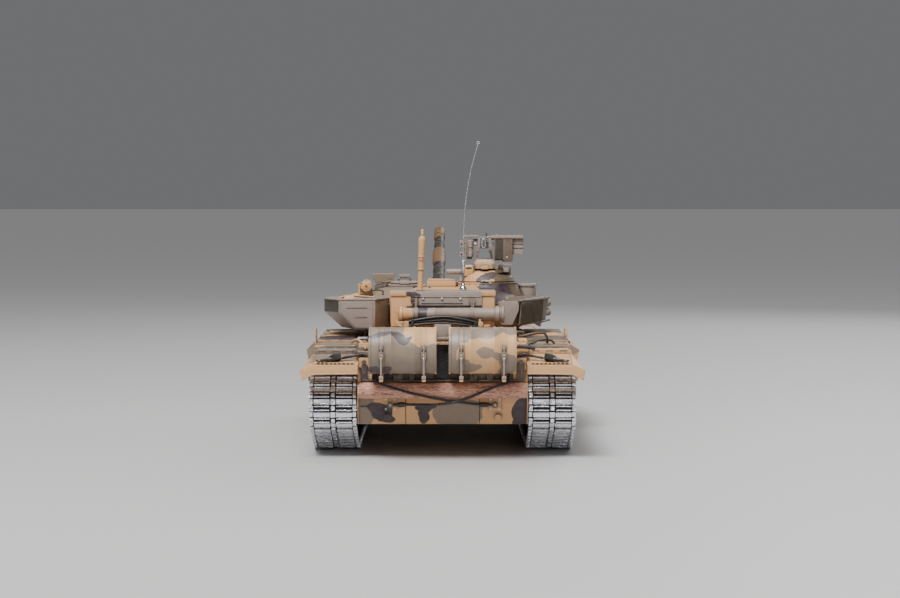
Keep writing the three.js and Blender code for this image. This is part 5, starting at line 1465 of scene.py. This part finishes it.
def right_bin():
    """The right side bin: a narrow smooth stern face and a broad ribbed quarter."""
    piece = Piece("bin_right_detail")
    body = [
        (51, -92, 118.8), (51, -92, 98.7), (63.6, -92, 118.8), (63.4, -92, 111), (58.5, -92, 98.7),
        (85, -38, 119), (85, -38, 97), (92, -14, 119), (89, -14, 98), (58, -14, 119), (58, -14, 98),
    ]
    piece.add(ribbed_olive_paint, hull(body, 0.6))
    face = [(45.6, 118.4), (62.4, 118.4), (63.6, 116), (63.4, 110.6), (58.2, 98.6), (49, 98.6), (45.6, 104)]
    piece.add(bin_paint, prism("y", face, -93.2, -91.2, 1.0))
    start, end = Vector((64.4, -91, 0)), Vector((85.4, -38.6, 0))
    across = (end - start).normalized()
    out = Vector((across.y, -across.x, 0))
    for k in range(19):
        base = start + across * (k * 3.0) + out * 0.4
        low = base + across * -1.5 + Vector((0, 0, 99.4))
        high = base + across * 2.4 + Vector((0, 0, 117.6))
        piece.add(ribbed_olive_paint, tube([low, high], 0.75, 6))
    for z in (98.8, 118.4):
        piece.add(olive_paint, tube([(63.8, -91.6, z), (85.8, -38.4, z), (92.4, -14, z)], 0.9, 8))
    piece.add(olive_paint,
              hull([(51, -90, 118.6), (63, -90, 118.6), (86, -38, 118.8), (90, -16, 118.8),
                    (60, -16, 118.8),
                                (51, -90, 119.8), (62.6, -89, 119.8), (85, -38, 120), (89, -17, 120),
                                (60, -16, 120)], 0.4))
    piece.add(pale_grey_paint,
              prism("y", [(76, 98.4), (84, 103), (84, 94.9), (82.4, 94.5)], -45, -43.2, 0.3))
    piece.finish("turret", "olive", "side_bin_right", turn=TURRET_TURN)


def snorkel():
    """The wading tube with its end fittings, flange bolts and hanging straps."""
    piece = Piece("snorkel_detail")
    r, y, z = 5.4, -114.0, 108.6
    profile = [(-36.4, 0), (-36.4, 5.2), (-35.4, 6.6), (-33.4, 6.6), (-32.8, r + 0.3), (-31, r + 0.3),
               (-30.6, r), (-8, r), (-7.6, r + 0.25), (-6.6, r + 0.25), (-6.2, r), (42.6, r), (43.4, 6.6),
               (46.6, 6.9), (47, 6.2), (48, 6.2), (48.4, 7), (50.2, 7), (50.8, 6.2), (50.8, 0)]
    piece.add(snorkel_paint, lathe("x", profile, (0, y, z), 48))
    for dy, dz in ((4.4, 0), (-4.4, 0), (0, 4.4), (0, -4.4)):
        piece.add(steel, bolt((50.6, y + dy, z + dz), (1, 0, 0), 0.6))
    for x in (-22, 24):
        band = [(x - 1.5, r - 0.2), (x - 1.5, r + 0.45), (x + 1.5, r + 0.45), (x + 1.5, r - 0.2),
                (x - 1.5, r - 0.2)]
        piece.add(grey_paint, lathe("x", band, (0, y, z), 40),
                  box((x - 1, y + 3, z), (x + 1, -107.8, 122), 0.3))
    piece.add(sand_paint, box((-38.4, y - 3, 103.2), (-35.4, y + 4, 112.4), 0.8),
              box((-37, y - 5.6, 100), (-31.6, y + 2, 103.4), 0.8),
              bent_bar([(-38, y - 2, 104), (-36, y - 5, 100), (-33, y - 6, 99)], 16, 1.0, 8))
    piece.finish("turret", "grey", "snorkel_tube", turn=TURRET_TURN)


def hoses():
    """Three bowed black hoses, with clips at the ends and sand-coloured end blocks."""
    piece = Piece("hose_detail")
    y = -120.8
    for rise, drop, back, radius in ((1.5, -0.2, 0.0, 1.15), (0.4, 1.6, -0.8, 1.0), (-0.7, 3.0, 0.4, 0.9)):
        route = [(-29, y - back, 102.6 - drop), (-14, y - back, 104.6 + rise / 2 - drop),
                 (2, y - back, 105.2 + rise - drop), (17, y - back, 103.8 + rise / 2 - drop),
                 (31, y - back, 101.4 - drop)]
        piece.add(black_rubber, bent_bar(route, 60, radius, 14))
    for x in (-25, 27):
        piece.add(dark_plastic, box((x - 1, y - 1.7, 98.4), (x + 1, y + 2, 105.2 - (x > 0) * 2), 0.4))
    piece.add(sand_paint, box((-32.4, y - 1.6, 98.4), (-29.4, -107.6, 101.4), 0.5),
              box((-31.6, y - 2, 98.4), (-28, y + 1.4, 103.6), 0.7),
              box((29, y - 1.8, 97.8), (33, -107.6, 101), 0.6),
              box((32, y - 1.4, 98.6), (38.6, y + 2, 100.4), 0.5),
              round_bar("y", -2, 2, 2.2, (31.2, y - 0.6, 101), 24, 0.3),
              box((29.6, y - 2.2, 100), (31.4, y + 1, 105), 0.5))
    piece.finish("turret", "dark", "hose_bundle", turn=TURRET_TURN)


def smoke(side, sign):
    """Six smoke dischargers with caps and rims on their mounting plate."""
    piece = Piece(f"smoke_{side}_detail")
    piece.add(pale_grey_paint, side_box(sign, (81.5, -5, 97.6), (83.5, 27, 118.4), 0.5))
    for i in range(6):
        row, column = i % 2, i // 2
        profile = [(0, 0), (0, 2.3), (1, 2.7), (11.4, 2.7), (11.6, 3.1), (13.6, 3.1), (14, 2.6), (14, 0)]
        turn = (Matrix.Translation((sign * 82.5, -3 + column * 10,
                                    101 + row * 8)) @ Matrix.Rotation(-sign * 0.9, 4, "Z")
                @ Matrix.Rotation(0.3, 4, "X"))
        piece.add(pale_grey_paint if column else grey_paint,
                  transformed(lathe("y", profile, segments=28), turn))
        piece.add(gunmetal, transformed(round_bar("y", -1.4, 0.2, 1.2, segments=12), turn))
    for y in (0, 11, 22):
        piece.add(steel, bolt((sign * 83.4, y, 117), (sign, 0, 0), 0.7))
    piece.finish("turret", "olive", f"smoke_launchers_{side}", turn=TURRET_TURN)


def mast():
    """The stepped mast of the wind sensor."""
    piece = Piece("mast_detail")
    profile = [(0, 0), (0, 3.4), (1, 3.4), (1.4, 2.5), (17, 2.1), (17.3, 2.9), (18.4, 2.9), (18.6, 2.6),
               (27.6, 2.6), (27.8, 3.1), (29, 3.1), (29.3, 2.6), (42.2, 3.0), (43.4, 2.9), (45, 1.8),
               (45.6, 1.1), (46.4, 1.1), (46.8, 1.4), (47.4, 1.1), (50.6, 1.1), (51.2, 0.7), (51.3, 0)]
    piece.add(sand_paint, lathe("z", profile, segments=40))
    piece.add(steel, *[bolt((2.4 * c, 2.4 * s, 0.9), UP, 0.5) for c, s in circle(4, 0.5)])
    piece.add(dark_plastic, dome((0.9, -2.5, 25), AFT, 0.6), dome((-0.9, -2.5, 25), AFT, 0.6))
    piece.finish("turret", "sand", "wind_sensor_mast",
                 turn=TURRET_TURN @ Matrix.Translation((-19, -92, 127.5))
                 @ Matrix.Rotation(MAST_LEAN, 4, "Y"))


def whip():
    """The antenna: chromed foot, spring, and a thin rod that bends over to its ring."""
    piece = Piece("antenna_detail")
    foot = [(0, 0), (0, 3.0), (0.8, 3.2), (2.2, 2.9), (3.4, 1.9), (4.2, 2.0), (5.4, 1.6), (6, 1.2),
            (23, 1.15), (23.4, 1.5), (24.4, 1.5), (25, 0.8), (25, 0)]
    piece.add(chrome, lathe("z", foot, segments=32))
    rod = [(0, 0, 24), (0.4, 0, 50), (2.4, 0, 76), (6.4, 0, 100), (12.4, 0, 122.5)]
    piece.add(steel, bent_bar(rod, 60, lambda share: 0.55 - 0.15 * share, 10),
              lathe("y", [(-0.5, 0.8), (-0.5, 1.25), (0, 1.5), (0.5, 1.25), (0.5, 0.8), (-0.5, 0.8)],
                    (12.6, 0, 123.2), 20))
    piece.finish("turret", "chrome", "antenna", turn=TURRET_TURN @ Matrix.Translation((16.9, -85, 127.5)))


# ------------------------------------------------------------------ gun

GUN_TURN = Matrix.Translation(TRUNNION) @ Matrix.Rotation(GUN_RISE, 4, "X")


def gun():
    """Barrel in its thermal sleeves with their bands, fume extractor, and the muzzle's sight ring."""
    piece = Piece("gun_detail")
    r = 5.0
    profile = [(12, 0), (12, 6.2), (34, 6.1), (34.3, 6.5), (37, 6.5), (37.3, 6.1), (56, 6.0),
               (57.4, r + 0.5), (80, r + 0.45), (80.3, r + 0.8), (83, r + 0.8), (83.3, r + 0.45),
               (118, r + 0.35), (118.3, r + 0.7), (121, r + 0.7), (121.3, r + 0.35), (150, r + 0.2),
               (152, r + 0.4), (156, r + 1.3), (206, r + 1.3), (210, r + 0.5), (212, r), (240, r - 0.1),
               (240.3, r + 0.25), (243, r + 0.25), (243.3, r - 0.1), (282, r - 0.3), (283, r + 0.5),
               (286, r + 0.5), (287, r + 0.1), (306, r + 0.1), (306.6, r + 0.35), (317.6, r + 0.35),
               (318, r - 0.1), (318, r - 1.8), (311, r - 1.9), (311, 0)]
    piece.add(shaded_gun_paint, lathe("y", profile, segments=56))
    for t in (35.6, 81.6, 119.6, 241.6):
        piece.add(gunmetal, box((-1, t - 1, r + 0.2), (1, t + 1, r + 1.6), 0.3))
    piece.add(shaded_gun_paint, box((-1.2, 308, r), (1.2, 316, r + 1.5), 0.3))
    piece.add(dark_plastic,
              lathe("y",
                    [(283.4, r + 0.4), (283.4, r + 0.62), (285.6, r + 0.62), (285.6, r + 0.4),
                     (283.4, r + 0.4)],
                                  segments=40))
    piece.finish("gun", "olive", "gun_barrel", turn=GUN_TURN)

    cover = Piece("mantlet_detail")
    rings = []
    shape = bmesh.new()
    for t, wide, tall in ((-3, 11, 8.6), (2, 11, 9.2), (8, 10.4, 9.4), (14, 9.8, 9.0), (19, 9.9, 9.1),
                          (24, 9.0, 8.5), (30, 8.6, 8.2)):
        ring = []
        for i, (c, s) in enumerate(circle(40)):
            squarish = (abs(c) ** 4 + abs(s) ** 4) ** -0.25
            fold = 0.35 * math.sin(9 * 2 * math.pi * i / 40 + t) * (0 < t < 28)
            ring.append(shape.verts.new((c * squarish * (wide + fold), t, s * squarish * (tall + fold))))
        rings.append(ring)
    skin(shape, rings)
    shape.faces.new(rings[0])
    shape.faces.new(rings[-1])
    bmesh.ops.recalc_face_normals(shape, faces=shape.faces)
    cover.add(canvas, shape)
    clamp = [(26.4, 8.4), (26.4, 9.2), (28.8, 9.2), (28.8, 8.4)]
    cover.add(gunmetal, lathe("y", clamp + clamp[:1], segments=40))
    cover.add(steel, *[bolt((9.858 * c, -1, 8.6 * s), (c, 0, s), 0.7) for c, s in circle(12)])
    cover.finish("gun", "sand", "gun_mantlet", turn=GUN_TURN)


# ------------------------------------------------------------------ cupola, hatches and machine gun


def cupola():
    """The rotating tier with vision blocks, rivets, side tube, and the machine gun's cradle."""
    piece = Piece("cupola_detail")
    dome_profile = [(0.3, 0), (0.3, 24.1), (1.0, 24.5), (1.9, 23.8), (3.6, 23.2), (6, 20.9), (8, 18),
                    (9.6, 14.4), (10.5, 11.4), (10.9, 9.4), (10.9, 0)]
    piece.add(cupola_paint, lathe("z", dome_profile, segments=72))
    piece.add(dark_plastic, round_bar("z", 10.6, 10.98, 7.4, (-1, -1.5, 0), 40))
    piece.add(cupola_paint, *[dome((23.2 * c, 23.2 * s, 3.0), (c, s, 0.5), 0.5) for c, s in circle(30)])
    for degrees in (-100, -52, -4, 44, 92):
        turn = Matrix.Rotation(math.radians(degrees), 4, "Z")
        piece.add(cupola_paint, transformed(box((-3, 16.2, 4), (3, 21.0, 12.6), 0.5), turn))
        piece.add(lens, transformed(box((-2.4, 20.8, 8.4), (2.4, 21.3, 11.8), 0.15), turn))
    side_tube = lathe("x", [(-35, 0), (-35, 2.1), (-34.4, 2.4), (-20, 2.4), (-20, 0)], (0, 2.4, 8.6), 28)
    piece.add(pale_grey_paint, side_tube, box((-33, 0.2, 7.6), (-18, 4.6, 9), 0.4),
              box((11.5, -14.6, 8.6), (18.8, -7, 12.4), 0.6))
    knob = [(-2, 0), (-2, 1.5), (-1.6, 2.6), (2, 2.6), (2.4, 2), (2.4, 0)]
    piece.add(cupola_paint, lathe("y", knob, (11.2, -15.6, 13.4), 28),
              box((9.6, -17, 8), (12.8, -14, 12), 0.5))
    piece.add(dark_plastic, round_bar("y", -2.4, -1.9, 1.3, (11.2, -15.6, 13.4), 20))
    rest = [(-20.4, -14, 5), (-11.5, -14, 5), (-20.4, -6, 5), (-11.5, -6, 5), (-19.4, -14.6, 11.6),
            (-12, -14.6, 11.6), (-18.4, -13, 14.8), (-12.5, -13, 14.8), (-18.4, -7, 14.8),
            (-12.5, -7, 14.8)]
    piece.add(cupola_paint, hull(rest, 0.8))
    piece.add(dark_plastic, box((-18.6, -15.1, 12.1), (-13, -14.0, 13.0), 0.2))
    for side in (-1, 1):
        x = -2 + side * 6.6
        cheek = [(12.2, 8), (16.6, 8), (15.8, 30), (15.4, 33.2), (12.6, 33.2), (12.2, 30)]
        piece.add(pale_grey_paint, prism("x", cheek, x - 0.9, x + 0.9, 0.3))
        piece.add(steel, bolt((x + side * 0.9, 14, 32.2), (side, 0, 0), 1.2))
        brace = [(x, 12.4, 21), (x - side * 1.8, 11, 26.5)]
        piece.add(pale_grey_paint, tube(brace, 0.6, 8),
                  dome((x - side * 1.8, 10.4, 26.6), AFT, 1.0, 0.8, 14))
    piece.add(pale_grey_paint, box((-9, 11.6, 5), (5, 16.4, 13), 0.6),
              tube([(-18.4, 5.5, 8), (-18.4, 5.5, 38)], 0.5, 8),
              tube([(15.2, 5.5, 6), (15.2, 5.5, 15.6)], 0.8, 10),
              box((14.6, 4.6, 13.6), (22, 6.6, 15.4), 0.4))
    piece.finish("cupola", "sand", "commander_cupola", turn=Matrix.Translation(CUPOLA))

    lid = Piece("commander_lid_detail")
    cap = []
    for wide, narrow, z in ((9.1, 6.2, 0.2), (9.1, 6.2, 5.2), (6.6, 4.4, 8.3)):
        for x, y in ((wide, narrow), (narrow, wide)):
            cap += [(x, y, z), (-x, y, z), (x, -y, z), (-x, -y, z)]
    lid.add(hatch_paint, hull(cap, 0.8))
    lid.add(cupola_paint, box((-3, -12.5, 0), (3, -7.4, 3), 0.5),
            box((-5.4, -8.9, 2.6), (3.4, -7.6, 6.4), 0.5))
    lid.add(steel, round_bar("x", -3.4, 3.4, 0.6, (0, -11.6, 0.9), 12))
    lid.add(gunmetal, bent_bar([(-4, 3.2, 8), (-3.6, 3.4, 8.9), (3.6, 3.4, 8.9), (4, 3.2, 8)], 18, 0.45, 8))
    lid.add(cupola_paint, *[dome((7.7 * c, 7.7 * s, 6.5), (c, s, 1), 0.5) for c, s in circle(8, 0.5)])
    lid.finish("commander_lid", "sand", "commander_hatch",
               turn=Matrix.Translation(CUPOLA + Vector((-1.8, -4, 11.2))))


def machine_gun():
    """The remote machine gun: receiver, jacketed barrel, sight head, and two ammunition boxes."""
    piece = Piece("machine_gun_detail")
    piece.add(gunmetal, box((-3.4, -14, -3.8), (3.4, 22, 3.4), 0.5),
              box((-2.6, -12, 3.2), (2.6, 18, 4.6), 0.5), box((-5, -16.4, -3.4), (5, -14.2, 5.4), 0.6),
              box((-3.8, -17, -2), (3.8, -16, 4), 0.5))
    loop = [(-0.7 + 1.6 * c, -16.6, 0.7 + 3.8 * s) for c, s in circle(24)]
    piece.add(steel, tube([*loop, loop[0]], 0.45, 8))
    piece.add(gunmetal,
              lathe("y", [(-17, 0.9), (-17, 1.5), (-16, 1.5), (-16, 0.9), (-17, 0.9)], (3.1, 0, 0.6), 20))
    for x in (-4.6, 4.6):
        piece.add(pale_grey_paint, box((x - 1, -16.9, -3.2), (x + 1, -15.6, 5.2), 0.3))
    piece.add(gunmetal, round_bar("x", -5.6, 5.6, 1.2, segments=20))
    barrel = [(20, 0), (20, 2.4), (24, 2.4), (24.4, 1.9)]
    for k in range(9):
        t = 26 + 4.2 * k
        barrel += [(t, 1.9), (t + 0.2, 1.35), (t + 1.6, 1.35), (t + 1.8, 1.9)]
    barrel += [(64, 1.4), (72.4, 1.3), (73, 2.4), (79.4, 2.6), (79.6, 1.2), (78, 0.9), (78, 0)]
    piece.add(gunmetal, lathe("y", barrel, (0, 0, 0.5), 28), box((3, -3, 3.2), (11, 3, 5.8), 0.5))
    for k in range(5):
        piece.add(brass,
                  lathe("y", [(-3.6, 0), (-3.6, 0.75), (1.6, 0.75), (3.8, 0.3), (3.8, 0)],
                        (4.2 + 1.5 * k, 0, 6.0), 10))
    piece.add(ammo_paint, box((9.2, -6, -14.6), (25, 20, 4.8), 0.7))
    piece.add(ammo_dark, box((9.4, -6.7, -13.6), (17.1, -5.6, 4.4), 0.4))
    piece.add(ammo_paint, box((17.5, -6.7, -15.4), (24.8, -5.6, 4.4), 0.4))
    piece.add(pale_grey_paint, box((9.0, -7.0, -13.8), (9.6, -5.6, 4.4), 0.2),
              box((17.0, -7.0, -14.4), (17.6, -5.6, 4.4), 0.2))
    piece.add(steel, dome((20, -6.6, -12), AFT, 0.9, 0.6, 12))
    piece.add(ammo_paint, box((16, -5, -15.6), (24, 6, -14.4), 0.3))
    piece.add(pale_grey_paint, box((24.8, -4, -9.4), (34.2, 18, 5.0), 0.6))
    for z in (-3.9, -0.4):
        piece.add(dark_plastic, box((25.2, -4.25, z - 0.3), (34, -3.9, z + 0.3), 0.08))
    piece.add(pale_grey_paint, box((6, -7.2, 4.7), (34.2, 20.6, 7.1), 0.5))
    for x in (11, 21, 30):
        piece.add(steel, bolt((x, -4.6, 7.0), UP, 0.7))
    piece.add(pale_grey_paint, box((-15.6, -4.6, -11.6), (-9.2, 12, 3.4), 0.8))
    sight = [(-11.8, 0), (-11.8, 1.6), (-11, 2.3), (-7.4, 2.3), (-7, 1.8), (-3.4, 1.8), (-3, 2.3),
             (2.6, 2.3), (3.2, 1.7), (3.2, 0)]
    piece.add(pale_grey_paint, lathe("z", sight, (-12.0, -4.6, 0), 28))
    piece.add(dark_plastic, box((-15.2, -5.0, -13.4), (-10.4, -1, -11.4), 0.4))
    piece.add(lens, lathe("y", [(12, 0), (12, 2.2), (12.5, 1.8), (12.7, 0)], (-12.4, 0, -1), 24))
    piece.add(pale_grey_paint, box((-10, 3, 2.2), (-3, 8, 3.9), 0.4),
              box((-18.4, -3, 5.4), (-4.4, 4, 7.6), 0.5))
    for low, high in ((-3.4, 3.1), (-11.7, -6.8)):
        piece.add(pale_grey_paint, box((-21.4, -3.2, low), (-18.2, 2, high), 0.4))
        piece.add(dark_plastic, dome((-19.8, -3.2, (low + high) / 2), AFT, 0.8))
    piece.add(gunmetal, box((-19, -2, -6), (-15, 1, -3.6), 0.4), box((-19, -2, -0.6), (-15, 1, 0.8), 0.4),
              tube([(2.2, 8, 4), (2.2, 8, 9)], 0.5, 8), dome((2.2, 8, 8.8), UP, 0.9))
    piece.add(pale_grey_paint, box((-4.6, -4, 4.6), (4.4, 10, 6), 0.5))
    piece.finish("heavy_machine_gun", "dark", "machine_gun", turn=Matrix.Translation((36, 21, 164.5)))


def gunner_hatch():
    """The gunner's domed hatch with its handle and hinge."""
    piece = Piece("gunner_lid_detail")
    lid = [(0, 0), (0, 12.2), (0.6, 12.6), (1.4, 12.5), (2.0, 11.2), (2.5, 8), (2.7, 0)]
    piece.add(pale_grey_paint, lathe("z", lid, segments=56), box((-4, -14.5, 0), (4, -10.5, 2), 0.4),
              lathe("z", [(2.4, 0), (2.4, 4), (3.2, 3.6), (3.2, 0)], (0, 2, 0), 32))
    piece.add(gunmetal, bent_bar([(-5, -5, 2), (-4.6, -5, 4.2), (4.6, -5, 4.2), (5, -5, 2)], 18, 0.6, 8))
    piece.add(grey_paint, *[dome((10.9 * c, 10.9 * s, 2.0), UP, 0.55) for c, s in circle(10, 0.5)])
    piece.finish("gunner_lid", "grey", "gunner_hatch", turn=Matrix.Translation((-33, 1, 130.3)))


# ------------------------------------------------------------------ kept CAD nodes, floor, light and camera


def carried_over():
    """Finishes on the CAD nodes whose shape is right as it is."""
    finishes = {
        "lower_hull": stern_paint, "upper_hull": fender_paint, "battery_cover": dark_camouflage,
        "battery_pack": cell_blue, "control_board": board_green, "drive_unit": steel,
        "power_switch": dark_plastic,
    }
    for side, _ in SIDES:
        for i in range(1, 7):
            finishes[f"swing_arm_{side}_{i}"] = gunmetal
    for name, finish in finishes.items():
        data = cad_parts[name].data
        data.materials.clear()
        data.materials.append(finish)
        data.set_sharp_from_angle(angle=math.radians(30))


FLOOR_REACH = 30.0  # metres from the middle, far beyond the picture's edges
FLOOR_COLOUR = (0.50, 0.495, 0.49, 1)
SKY_COLOUR = (0.80, 0.81, 0.83, 1)
SKY_STRENGTH = 0.20
SUN_STRENGTH = 1.1
SUN_ANGLE = math.radians(35)
SUN_DIRECTION = Vector((0.3, 1.0, -1.7))
LIGHT_TARGET = Vector((0, -0.1, 0.09))
SOFT_LIGHTS = (  # name, place and width in metres, power in watts
    ("key", (-0.45, -1.35, 1.95), 0.8, 64),
    ("fill", (0.5, -2.4, 0.35), 0.7, 6),
    ("top", (-0.1, 0.2, 1.7), 1.1, 10),
    ("rim", (0.8, 1.6, 1.0), 0.8, 10),
)
SENSOR_WIDTH = 36.0
LENS = 94.0
CAMERA_TILT = math.radians(90 - 2.56)
CAMERA_YAW = math.radians(-0.105)


def studio():
    """A pale floor, a grey backdrop and soft light from above and behind the camera."""
    floor = bpy.data.meshes.new("floor")
    reach = FLOOR_REACH
    floor.from_pydata([(-reach, -reach, 0), (reach, -reach, 0), (reach, reach, 0), (-reach, reach, 0)], [],
                      [(0, 1, 2, 3)])
    ground = bpy.data.objects.new("floor", floor)
    bpy.context.scene.collection.objects.link(ground)
    matt = bpy.data.materials.new("floor_grey")
    matt.use_nodes = True
    shader = matt.node_tree.nodes["Principled BSDF"]
    shader.inputs["Base Color"].default_value = FLOOR_COLOUR
    shader.inputs["Roughness"].default_value = 0.55
    floor.materials.append(matt)
    world = bpy.data.worlds.new("studio")
    world.use_nodes = True
    background = world.node_tree.nodes["Background"]
    background.inputs["Color"].default_value = SKY_COLOUR
    background.inputs["Strength"].default_value = SKY_STRENGTH
    bpy.context.scene.world = world
    sun = bpy.data.lights.new("daylight", "SUN")
    sun.energy = SUN_STRENGTH
    sun.angle = SUN_ANGLE
    high = bpy.data.objects.new("daylight", sun)
    high.rotation_euler = SUN_DIRECTION.to_track_quat("-Z", "Y").to_euler()
    bpy.context.scene.collection.objects.link(high)
    for name, spot, width, power in SOFT_LIGHTS:
        light = bpy.data.lights.new(name, "AREA")
        light.energy = power
        light.size = width
        lamp = bpy.data.objects.new(name, light)
        lamp.location = spot
        lamp.rotation_euler = (LIGHT_TARGET - Vector(spot)).to_track_quat("-Z", "Y").to_euler()
        bpy.context.scene.collection.objects.link(lamp)


def camera():
    """A long lens behind the tank, a little above its roof."""
    eye = bpy.data.cameras.new("camera")
    eye.sensor_width = SENSOR_WIDTH
    eye.lens = LENS
    holder = bpy.data.objects.new("camera", eye)
    holder.location = place(CAMERA_OFF_HULL)
    holder.rotation_euler = (CAMERA_TILT, 0, CAMERA_YAW)
    bpy.context.scene.collection.objects.link(holder)
    bpy.context.scene.camera = holder


camera()
stern()
for side, sign in SIDES:
    tow_cable(side, sign)
    track(side, sign)
    for index in range(1, 7):
        road_wheel(side, sign, index)
    sprocket(side, sign)
    idler(side, sign)
    skirt(side, sign)
    drum(side, sign)
    mudguard(side, sign)
    fenders(side, sign)
    smoke(side, sign)
bark_log()
deck()
bow()
belly()
turret_shell()
roof()
rear_box()
left_bin()
right_bin()
snorkel()
hoses()
mast()
whip()
gun()
cupola()
machine_gun()
gunner_hatch()
carried_over()
studio()
